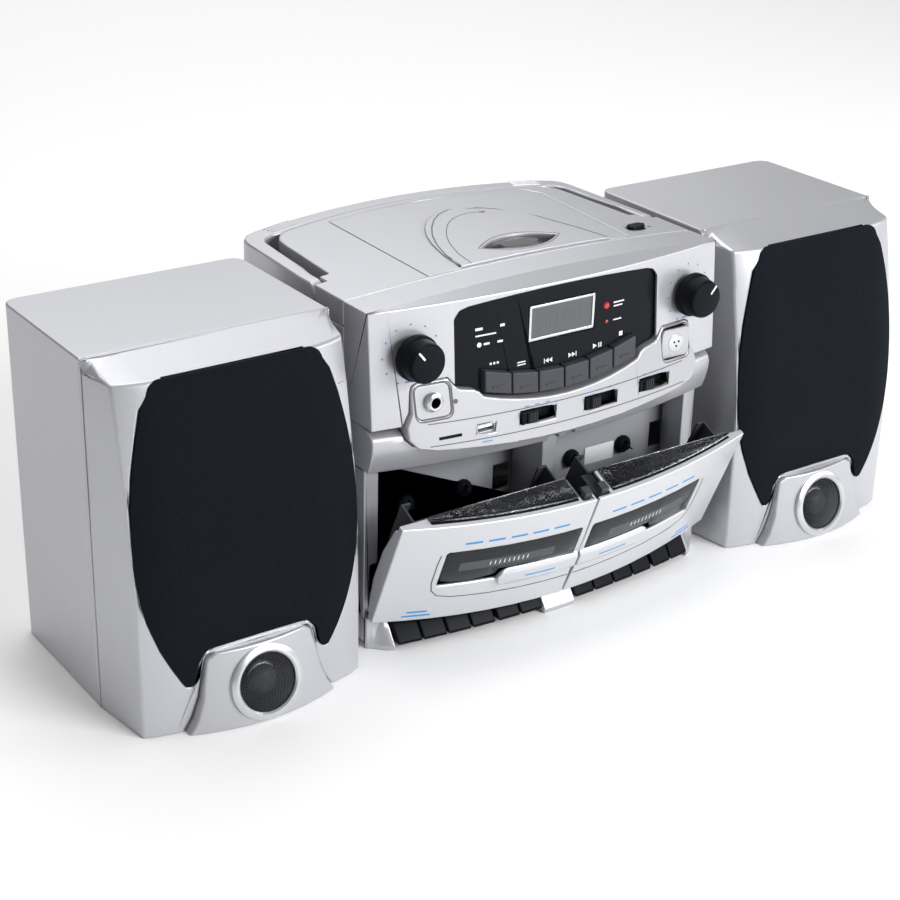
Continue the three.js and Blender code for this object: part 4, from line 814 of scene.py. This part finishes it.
smoked_strip = plastic("window_strip", (0.05, 0.055, 0.065), 0.4, speckle=0.01)
for side, word in ((-1, "left"), (1, "right")):
    body = f"{word}_deck_door"
    # The door shell is in the lighter door lacquer: partly whiter silver, partly painted light.
    moulded(f"{word}_deck_door", body, door_silver_and_painted_light, edge=0.0009, curves=[door_curve])
    moulded(f"{word}_cassette_holder", body, dark_grey, edge=0.0004)
    window = [(3.6, 70), (58, 70), (60, 66), (75, 63.5), (90, 64), (95.5, 66), (97.4, 70), (97.4, 85),
              (96, 89), (92, 90.9), (3.6, 90.9)]
    on_door(f"{word}_window", sided(side, window), -0.3, 1.4, body, smoked, cuts=12, bevel=0.3)
    on_door(f"{word}_window_strip", sided(side, rounded(21, 73, 86, 80, 1)), -0.24, 0.3, body,
            smoked_strip)
    ticks = [on_door(f"{word}_tick_{i}", sided(side, bar(40 + 3.2 * i, 76.5, 0.6, 3.2)), -0.2, 0.2, body,
                     print_white, cuts=1) for i in range(9)]
    joined(f"{word}_window_scale", ticks)
    # The recessed contour is a dark strip laid along the front: painted groove shade.
    contour = [(2, 48), (30, 48.3), (60, 49), (85, 50.5), (95, 53), (99.5, 58), (101, 65), (101.2, 80),
               (100.6, 89)]
    left, right = ribbon(contour, 0.7)
    strips = [on_door(f"{word}_contour_{i}", sided(side, [left[i], right[i], right[i + 1], left[i + 1]]),
                      0.05, 0.4, body, groove_shade_grey, cuts=3) for i in range(len(contour) - 1)]
    joined(f"{word}_contour", strips)
    dashes = [on_door(f"{word}_dash_{i}", sided(side, bar(22 + 15 * i, 97.3, 11, 1.5)), 0.04, 0.3, body,
                      print_blue, cuts=2) for i in range(5)]
    dashes += [on_door(f"{word}_foot_dash_{i}", sided(side, bar(104, 36 + 3.4 * i, 18 - 5 * i, 1.3)), 0.04,
                       0.3, body, print_blue, cuts=2) for i in range(2)]
    dashes.append(on_door(f"{word}_tab_dash", sided(side, bar(28, 61.5, 22, 1)), 2.25, 0.3, body,
                          print_blue, cuts=3))
    joined(f"{word}_door_print", dashes)
clear = bpy.data.materials.new("clear_acrylic")
clear.use_nodes = True
nodes, links = clear.node_tree.nodes, clear.node_tree.links
clear_shader = nodes["Principled BSDF"]
clear_shader.inputs["Base Color"].default_value = (0.94, 0.96, 0.98, 1)
clear_shader.inputs["Transmission Weight"].default_value = 1.0
clear_shader.inputs["Roughness"].default_value = 0.06
clear_shader.inputs["IOR"].default_value = 1.49
ripple = nodes.new("ShaderNodeTexNoise")
ripple_place = nodes.new("ShaderNodeTexCoord")
ripple_bump = nodes.new("ShaderNodeBump")
ripple.inputs["Scale"].default_value = 260
ripple_bump.inputs["Strength"].default_value = 0.5
ripple_bump.inputs["Distance"].default_value = 0.001
links.new(ripple_place.outputs["Object"], ripple.inputs["Vector"])
links.new(ripple.outputs["Fac"], ripple_bump.inputs["Height"])
links.new(ripple_bump.outputs["Normal"], clear_shader.inputs["Normal"])
# Along each door's top lies a black shelf that stands for the shaded cassette pocket seen from above: painted
# shade. The clear strip lies over it.
for side, word in ((-1, "left"), (1, "right")):
    reach = [13 + (104 if side > 0 else 98) * i / 10 for i in range(11)]
    lip = [(u, door_front(u, DOOR_TOP) + 3.2) for u in reach]
    for name, level, thick, inset, paint in (("pocket_shade_shelf", 114, 0.9, 0, black_satin),
                                             ("clear_strip", 115.8, 1.7, 1.2, clear)):
        outline = sided(side, [(u, v + inset) for u, v in lip] + [(reach[-1], -21.5), (reach[0], -21.5)])
        strip = plate_at(f"{word}_{name}", outline, level, thick, f"{word}_deck_door", paint,
                         bevel=0.3)
        strip.data.transform(opened)

# ---------------------------------------------------------------- Spindles and keys
# Black moulded winding spindles with three drive fins each, which turn in the deck plate, and the
# row of twelve black moulded piano keys, which rock down by about five degrees.
for word in ("left", "right"):
    for letter in "ab":
        moulded(f"{word}_spindle_{letter}", f"{word}_spindle_{letter}", black_satin, edge=0.0002)
    for index in range(1, 7):
        moulded(f"{word}_key_{index}", f"{word}_key_{index}", black_satin, edge=0.0012, segments=3)

# ---------------------------------------------------------------- Speakers
# Two boxes moulded in lacquered polystyrene, hung on the rails of the main unit. Each has a swept
# silver baffle, black cloth stretched on a frame, and a pod with a tweeter behind a metal mesh.
SWEEP_TOP, SWEEP_H, SWEEP_END = 204, 176, 0.89
FLAT_HALF, FLANK = 45, 27
POD_LEAN = 9 / 46


def baffle_curve(mid):
    """The swept front of a speaker: it leans forward down to the pod and falls away at its sides."""
    def curve(place):
        s = place.x - mid
        fall = 14 * max(0, abs(s) - FLAT_HALF) / FLANK ** 2
        down = (SWEEP_TOP - place.z) / SWEEP_H
        return Vector((math.copysign(fall, s), -1, (43.3 - 48.6 * down) / SWEEP_H if down < SWEEP_END else 0))
    return curve


def pod_curve(mid):
    return lambda place: Vector((18 * (place.x - mid) / 47 ** 2, -1, POD_LEAN))


cloth = duller(plastic("speaker_cloth", (0.003, 0.005, 0.008), 0.85, speckle=0.01, uneven=0.1, grain=0.9,
                       scale=1500.0), 0.12)


def grille_half(z):
    """Half width of the grille at a height: widest in the middle, like a barrel."""
    if z > 112:
        return 69.6 - 17 * ((z - 112) / 92) ** 2
    return 69.6 - 25 * ((112 - z) / 84) ** 2.2


def grille_edge():
    """The grille's outline: rounded shoulders above, two long tips either side of the pod below."""
    flank = [(grille_half(z), z) for z in (29 + 4.5 * i for i in range(37))]
    turns = [math.radians(a) for a in range(10, 91, 10)]
    shoulder = [(44.8 + 8.4 * math.cos(a), 196 + 8.4 * math.sin(a)) for a in turns]
    half = [(0, 49), (31, 48.6), (33.6, 47), (36, 44), (37.8, 41), (39.4, 33), (41, 29), (43, 28)]
    right = half + flank + shoulder + [(20, 204.4)]
    return right + [(-u, v) for u, v in reversed(right[1:])]


def cloth_panel(name, mid, body):
    """Black knitted cloth stretched over a frame that follows the swept front."""
    piece = drawn(name, grille_edge())
    bpy.ops.object.mode_set(mode="EDIT")
    for i in range(-8, 9):
        bpy.ops.mesh.select_all(action="SELECT")
        bpy.ops.mesh.bisect(plane_co=(0.0082 * i, 0, 0), plane_no=(1, 0, 0))
    for i in range(20):
        bpy.ops.mesh.select_all(action="SELECT")
        bpy.ops.mesh.bisect(plane_co=(0, 0.034 + 0.0086 * i, 0), plane_no=(0, 1, 0))
    bpy.ops.mesh.select_all(action="SELECT")
    bpy.ops.mesh.extrude_region_move(TRANSFORM_OT_translate={"value": (0, 0, -0.0022)})
    bpy.ops.object.mode_set(mode="OBJECT")
    for point in piece.data.vertices:
        u, v, level = point.co * 1000
        down = (SWEEP_TOP - v) / SWEEP_H
        reach = 30 + 43.3 * down - 24.3 * down * down if down < SWEEP_END else 49.3
        fall = 7 * (max(0, abs(u) - FLAT_HALF) / FLANK) ** 2
        point.co = ((mid + u) / 1000, (fall - reach - 1.1 - level) / 1000, v / 1000)
    outward(piece)
    softened(piece, 0.8)
    finished(piece, body, cloth)
    true_normals(piece, [baffle_curve(mid)])
    return piece


guard_metal = plastic("guard_metal", (0.16, 0.165, 0.17), 0.35, speckle=0.02, metallic=0.85)
TWEETER_RING = [(17.6, 5), (17.6, -0.6), (18.6, -1.5), (20.4, -1.4), (22.4, -0.2), (22.6, 1.4), (20.6, 5)]
TWEETER_Y, TWEETER_Z = -59.6, 22.5
GUARD_R, GUARD_RISE = 0.0176, 0.0024
SPEAKER_X = 214.85
for side, word in ((-1, "left"), (1, "right")):
    body = f"{word}_speaker"
    mid = side * SPEAKER_X
    moulded(f"{word}_speaker_cabinet", body, silver_lacquer, edge=0.0014, segments=3)
    moulded(f"{word}_speaker_baffle", body, silver_lacquer, edge=0.0018, segments=3,
            curves=[baffle_curve(mid)])
    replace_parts(cloth_panel(f"{word}_grille_cloth", mid, body), f"{word}_grille")
    # The pod is in the darker panel lacquer: painted shade.
    moulded(f"{word}_tweeter_pod", body, panel_lacquer_painted_shade, edge=0.0014, segments=3,
            curves=[pod_curve(mid)])
    moulded(f"{word}_woofer", body, black_satin, edge=0)
    heart = (mid, TWEETER_Y, TWEETER_Z)
    ring = turned(f"{word}_tweeter_ring", TWEETER_RING, heart, body, satin_metal, steps=64)
    cup = turned(f"{word}_tweeter_cup", [(0, 9), (17.5, 9), (17.5, 1), (16.9, 1), (16.2, 8.2), (0, 8.2)],
                 heart, body, black_satin, steps=48)
    dome = turned(f"{word}_tweeter_dome", [(0, 0.8), (4, 1.4), (7, 3.2), (9, 6.4), (9.2, 8.1), (0, 8.1)],
                  heart, body, dark_grey, steps=40)
    bpy.ops.object.select_all(action="DESELECT")
    bpy.ops.mesh.primitive_grid_add(x_subdivisions=34, y_subdivisions=34, size=2 * GUARD_R)
    guard = bpy.context.active_object
    guard.name = f"{word}_tweeter_guard"
    bpy.ops.object.mode_set(mode="EDIT")
    bpy.ops.mesh.select_mode(type="FACE")
    bpy.ops.mesh.select_all(action="DESELECT")
    bpy.ops.object.mode_set(mode="OBJECT")
    for face in guard.data.polygons:
        face.select = face.center.length > 0.0172
    bpy.ops.object.mode_set(mode="EDIT")
    bpy.ops.mesh.delete(type="FACE")
    bpy.ops.mesh.select_mode(type="VERT")
    bpy.ops.object.mode_set(mode="OBJECT")
    for point in guard.data.vertices:
        x, y, _ = point.co
        bulge = GUARD_RISE * (1 - (x * x + y * y) / GUARD_R ** 2)
        point.co = (mid / 1000 + x, TWEETER_Y / 1000 + 0.0012 - bulge, TWEETER_Z / 1000 + y)
    modifier(guard, "WIREFRAME", thickness=0.00042, use_even_offset=False)
    finished(guard, body, guard_metal)
    leaned = about(Vector(heart) / 1000, Matrix.Rotation(-math.atan(POD_LEAN), 4, "X"))
    for piece in (ring, cup, dome, guard):
        piece.data.transform(leaned)

# ---------------------------------------------------------------- Inside, back and antenna
# The disc mechanism, board and transformer fixed inside the cabinet, the mains inlet, vents, screws
# and battery door in its back, and the chrome telescopic antenna.
moulded("cd_deck", "main_unit", dark_grey, edge=0.0003)
moulded("cd_turntable", "cd_turntable", black_satin, edge=0.0002)
moulded("cd_pickup", "cd_pickup", dark_grey, edge=0.0004)
chrome = plastic("chrome", (0.8, 0.81, 0.82), 0.12, speckle=0.02, metallic=1.0, uneven=0.06, grain=0.02)
moulded("antenna_mast", "antenna_mast", chrome, edge=0.0002)
moulded("antenna_tip", "antenna_tip", chrome, edge=0.0004)
moulded("ac_inlet", "main_unit", black_satin, edge=0.0002)
board_green = plastic("board_green", (0.02, 0.11, 0.04), 0.4, speckle=0.04, grain=0.3, scale=500.0)
moulded("circuit_board", "main_unit", board_green, edge=0)
iron = plastic("laminated_iron", (0.3, 0.3, 0.31), 0.42, speckle=0.08, metallic=0.8, grain=0.5, scale=500.0)
moulded("power_transformer", "main_unit", iron, edge=0.0004)
# The vent slots are dark plates laid on the back: painted shade of the openings.
vents = []
for i in range(14):
    u = -70 + 9 * i
    vents.append(plate_at(f"vent_{i}", rounded(u - 2, 120, u + 2, 160, 1.9), 132.15, 0.3, "main_unit",
                          groove_shade_grey, way="front"))
joined("back_vents", vents)
for i, (u, v) in enumerate(((-118, 12), (118, 12), (-118, 186), (60, 186), (0, 12), (-60, 186))):
    turned(f"back_screw_{i + 1}", [(0, 0.4), (2.4, 0.3), (3, 0), (3, -1), (0, -1)], (u, 132.1, v),
           "main_unit", dark_grey, steps=20)
plate_at("battery_door", rounded(-70, 24, 60, 92, 3), 132.2, 0.3, "main_unit", silver_lacquer,
         way="front", bevel=0.1)
